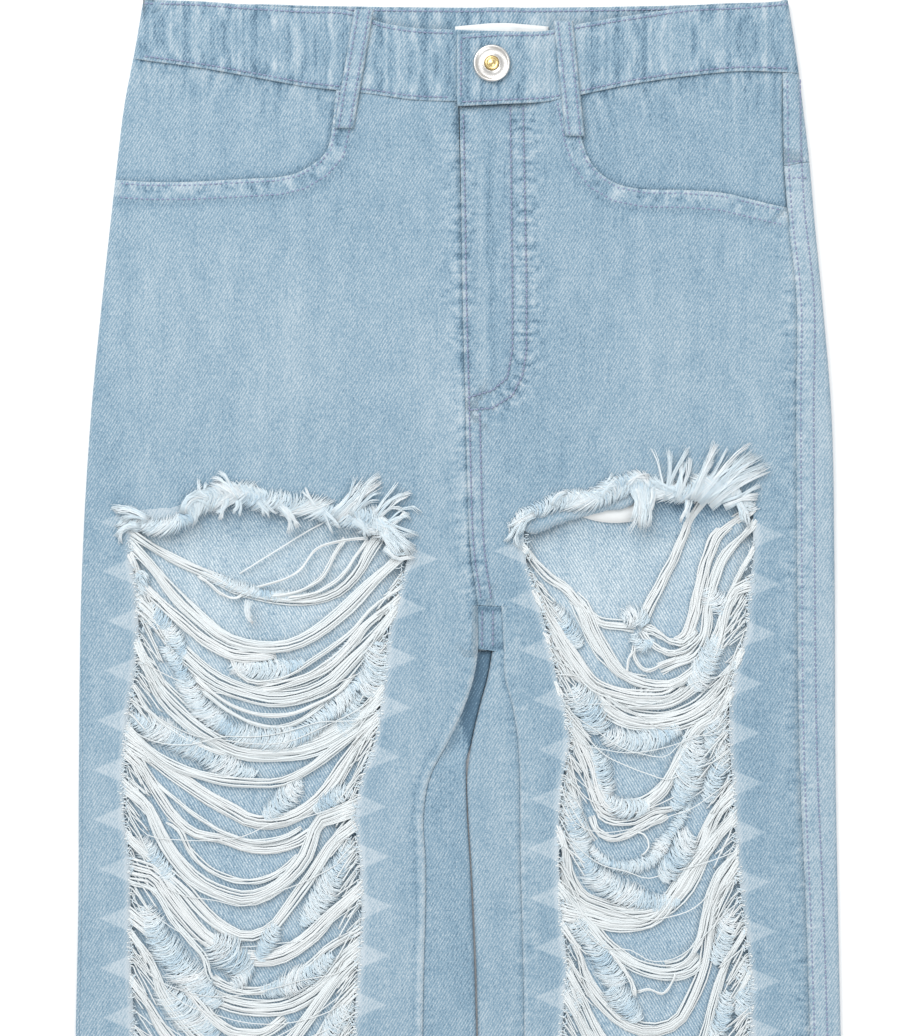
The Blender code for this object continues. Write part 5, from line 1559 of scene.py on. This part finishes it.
def lock(route, width, base):
    """Lock of warp yarns in a few strands. Each strand bends and curls its own way to its tip."""
    line, run, length = smooth(route, HAIR_STEPS)
    across = np.stack([-run[:, 1], run[:, 0]], axis=1)
    count = int(width * 10.0)
    strands = max(2, round(width * 0.9))
    strand = draw.integers(0, strands, count)
    spot = ((strand + 0.5) / strands - 0.5 + draw.normal(0.0, 0.45 / width, count))[:, None]
    u = np.linspace(0.0, 1.0, HAIR_STEPS)
    bend = (draw.normal(0.0, 0.15, strands)[strand] + draw.normal(0.0, 0.03, count))[:, None] * length
    turn = draw.uniform(0.0, 6.3, strands)[strand][:, None] + draw.normal(0.0, 0.3, (count, 1))
    wave = 0.9 * np.sin(5.5 * u + turn)
    offset = spot * width * (1.0 - 0.55 * u ** 1.3) + bend * u ** 2 + wave * u
    slip = (draw.uniform(-0.30, 0.06, strands)[strand] + draw.normal(0.0, 0.03, count))
    slip = run * (slip[:, None] * length * u)[..., None]
    plan = line + across * offset[..., None] + slip
    z = base(plan[..., 1]) + 1.4 * (1.0 - 3.0 * spot ** 2) * np.sin(0.5 + 2.2 * u)
    z = z + draw.uniform(-0.3, 0.5, (count, 1))
    tint = draw.uniform(0.3, 0.8, strands)[strand][:, None] + draw.uniform(-0.1, 0.1, (count, 1))
    tint = tint + 0.15 * u
    return np.concatenate([plan, z[..., None]], axis=2), tint


def fine_ends(side, count):
    """Fine ends along both side edges of a rip, where the weft leaves the cloth."""
    share = np.linspace(0.0, 1.0, HAIR_STEPS)
    parts = []
    for column, outward in zip(RIP_SIDES[side], (-1.0, 1.0)):
        y = draw.uniform(KNEE_END, 770.0, count)[:, None]
        x = straight(RIP_EDGES, y, column) - outward * draw.uniform(0.5, 3.0, (count, 1))
        turn = draw.normal(-0.5, 0.5, (count, 1)) + draw.normal(0.0, 0.7, (count, 1)) * share
        long = draw.uniform(1.5, 4.5, (count, 1)) * share
        plan = np.stack([x + outward * long * np.cos(turn), y + long * np.sin(turn)], axis=-1)
        z = stack_height(y) + 0.05 + 0.15 * share + draw.uniform(0.0, 0.15, (count, 1))
        parts.append((np.concatenate([plan, z[..., None]], axis=2),
                      draw.uniform(0.2, 0.7, (count, 1)) + 0.0 * share))
    return parts


def on_cloth(y):
    """Height just above the front panel."""
    return stack_height(y) + 0.15


TUFT_TAPER = np.concatenate([[0.6], np.ones(HAIR_STEPS - 2), [0.5]])
for side in ("R", "L"):
    fringe = [roll(from_photo(row[3:]), *row[:3], on_cloth) for row in EDGE_ROLLS[side]]
    fringe += [lock(from_photo(row[1:]), row[0], lambda y: stack_height(y) + 1.4)
               for row in LOCKS[side]]
    inside = [roll(from_photo(row[3:]), *row[:3], BED + 0.5 * (number % 3))
              for number, row in enumerate(ROLLS[side])] + fine_ends(side, FINE_ENDS)
    for name, parts, nodes in (("rip_tufts", fringe, [f"rip_fringe_{side}"]),
                               ("rip_fluff", inside, [])):
        paths, tints = (np.concatenate(part) for part in zip(*parts))
        radii = HAIR_RADIUS * TUFT_TAPER * draw.uniform(0.75, 1.2, (len(paths), 1))
        tubes(f"{name}_{side}", paths, radii, TUFT_YARN, nodes=nodes,
              values={"tint": tints})

# Stitching
# Lilac-grey sewing thread: each stitch is a short bead of thread on the cloth, 2.7 mm from the
# start of the next. Most seams are topstitched twice.
STITCH_PITCH, STITCH_LONG, STITCH_RADIUS = 2.7, 2.3, 0.42
# Distance of each row of stitches from a loop's left edge, a scoop's edge, and the waistband's
LOOP_ROWS, SCOOP_ROWS, BAND_ROW = (2.2, 7.8), (1.8, 9.0), 2.0


def surface(x, y):
    """Height of the jeans' upper face under a stitch, from the pieces' own rules."""
    band_foot = np.where(x < 0.0, straight(WAIST["R"], x, 2), straight(WAIST["L"], x, 2))
    return np.where(y > band_foot, np.where(x < 0.0, WAIST_HEIGHT, waist_top(x)) + 0.15,
                    stack_height(y) + soft_folds(x, y) + hem_fold(y) + 0.35)


def shifted(line, offset):
    """A line moved sideways by an offset, square to its own direction at each point."""
    run = np.gradient(line, axis=0)
    run /= np.hypot(run[:, 0], run[:, 1])[:, None]
    return line + offset * np.stack([-run[:, 1], run[:, 0]], axis=1)


def stitches(line, heights):
    """Stitches along a line: four points each, arched, sunk at both ends."""
    runs = np.hypot(*np.diff(line, axis=0).T)
    reach = np.concatenate([[0.0], np.cumsum(runs)])
    starts = np.arange(0.5, reach[-1] - STITCH_LONG, STITCH_PITCH)
    at = starts[:, None] + np.linspace(0.0, 1.0, 4)[None] * STITCH_LONG
    x, y = np.interp(at, reach, line[:, 0]), np.interp(at, reach, line[:, 1])
    z = heights(x, y) + np.array([-0.25, 0.12, 0.12, -0.25])
    return np.stack([x, y, z], axis=-1)


centre_y = np.linspace(988.0, 735.0, 60)
centre_line = np.stack([follow(FRONT_CENTRE, centre_y), centre_y], axis=1)
outseam_y = np.linspace(1006.0, 2.0, 200)
outseam = np.stack([follow(SIDES, outseam_y, 3), outseam_y], axis=1)
waist_rows = []
for part, low_x, high_x in (("R", -163.0, -2.5), ("L", 1.5, 172.0)):
    xs = np.linspace(low_x, high_x, 80)
    waist_rows.append(np.stack([xs, follow(WAIST[part], xs, 1) - BAND_ROW], axis=1))
    waist_rows.append(np.stack([xs, follow(WAIST[part], xs, 2) + BAND_ROW], axis=1))
back_band_x = np.linspace(-78.0, 112.0, 60)
top_rows = waist_rows + [
    np.array([(1.6, 1026.0), (1.4, 994.0)]),
    *(shifted(SCOOP[side], turn * row) for side, turn in (("R", -1.0), ("L", 1.0)) for row in SCOOP_ROWS),
    FLY_J["inner"], FLY_J["outer"],
    centre_line + np.array([2.0, 0.0]), centre_line[36:] + np.array([7.4, 0.0]),
    outseam + np.array([2.1, 0.0]), outseam + np.array([8.8, 0.0]),
    np.array([(12.5, 731.0), (12.3, 711.0)]), np.array([(18.0, 731.0), (18.0, 711.0)]),
    np.stack([np.linspace(169.5, 180.0, 12), np.full(12, 963.0)], axis=1),
    np.stack([np.linspace(169.5, 181.0, 12), np.full(12, 954.5)], axis=1),
    np.array([(-198.0, 10.5), (-12.0, 10.5)]), np.array([(22.0, 10.5), (198.0, 10.5)]),
]
sewn = [stitches(row, surface) for row in top_rows]
back_row = np.stack([back_band_x, follow(WAIST["back"], back_band_x, 1) - BAND_ROW], axis=1)
sewn.append(stitches(back_row, lambda x, y: WAIST_WALL + lift(x, y) + 0.15))
for side, (upper_end, lower_end) in LOOPS.items():
    for across in LOOP_ROWS:
        sewn.append(stitches(np.array([upper_end, lower_end]) + [across, 0.0],
                             lambda x, y, side=side: loop_top(side, x, y) + 0.35))
sewn = np.concatenate(sewn)

thread = Finish("sewing_thread", roughness=0.7)
thread_at, _, _ = thread.place()
thread_tone = (thread.noise(thread_at, (0.8, 0.8, 0.8)) * 0.25 + 0.5).clamped()
SEWING = thread.lit(thread.ramp(((0.0, (0.15, 0.19, 0.33)), (1.0, (0.34, 0.38, 0.52))), thread_tone))
tubes("topstitching", sewn, np.full(sewn.shape[:2], STITCH_RADIUS) * np.array([0.5, 1.0, 1.0, 0.5]),
      SEWING)
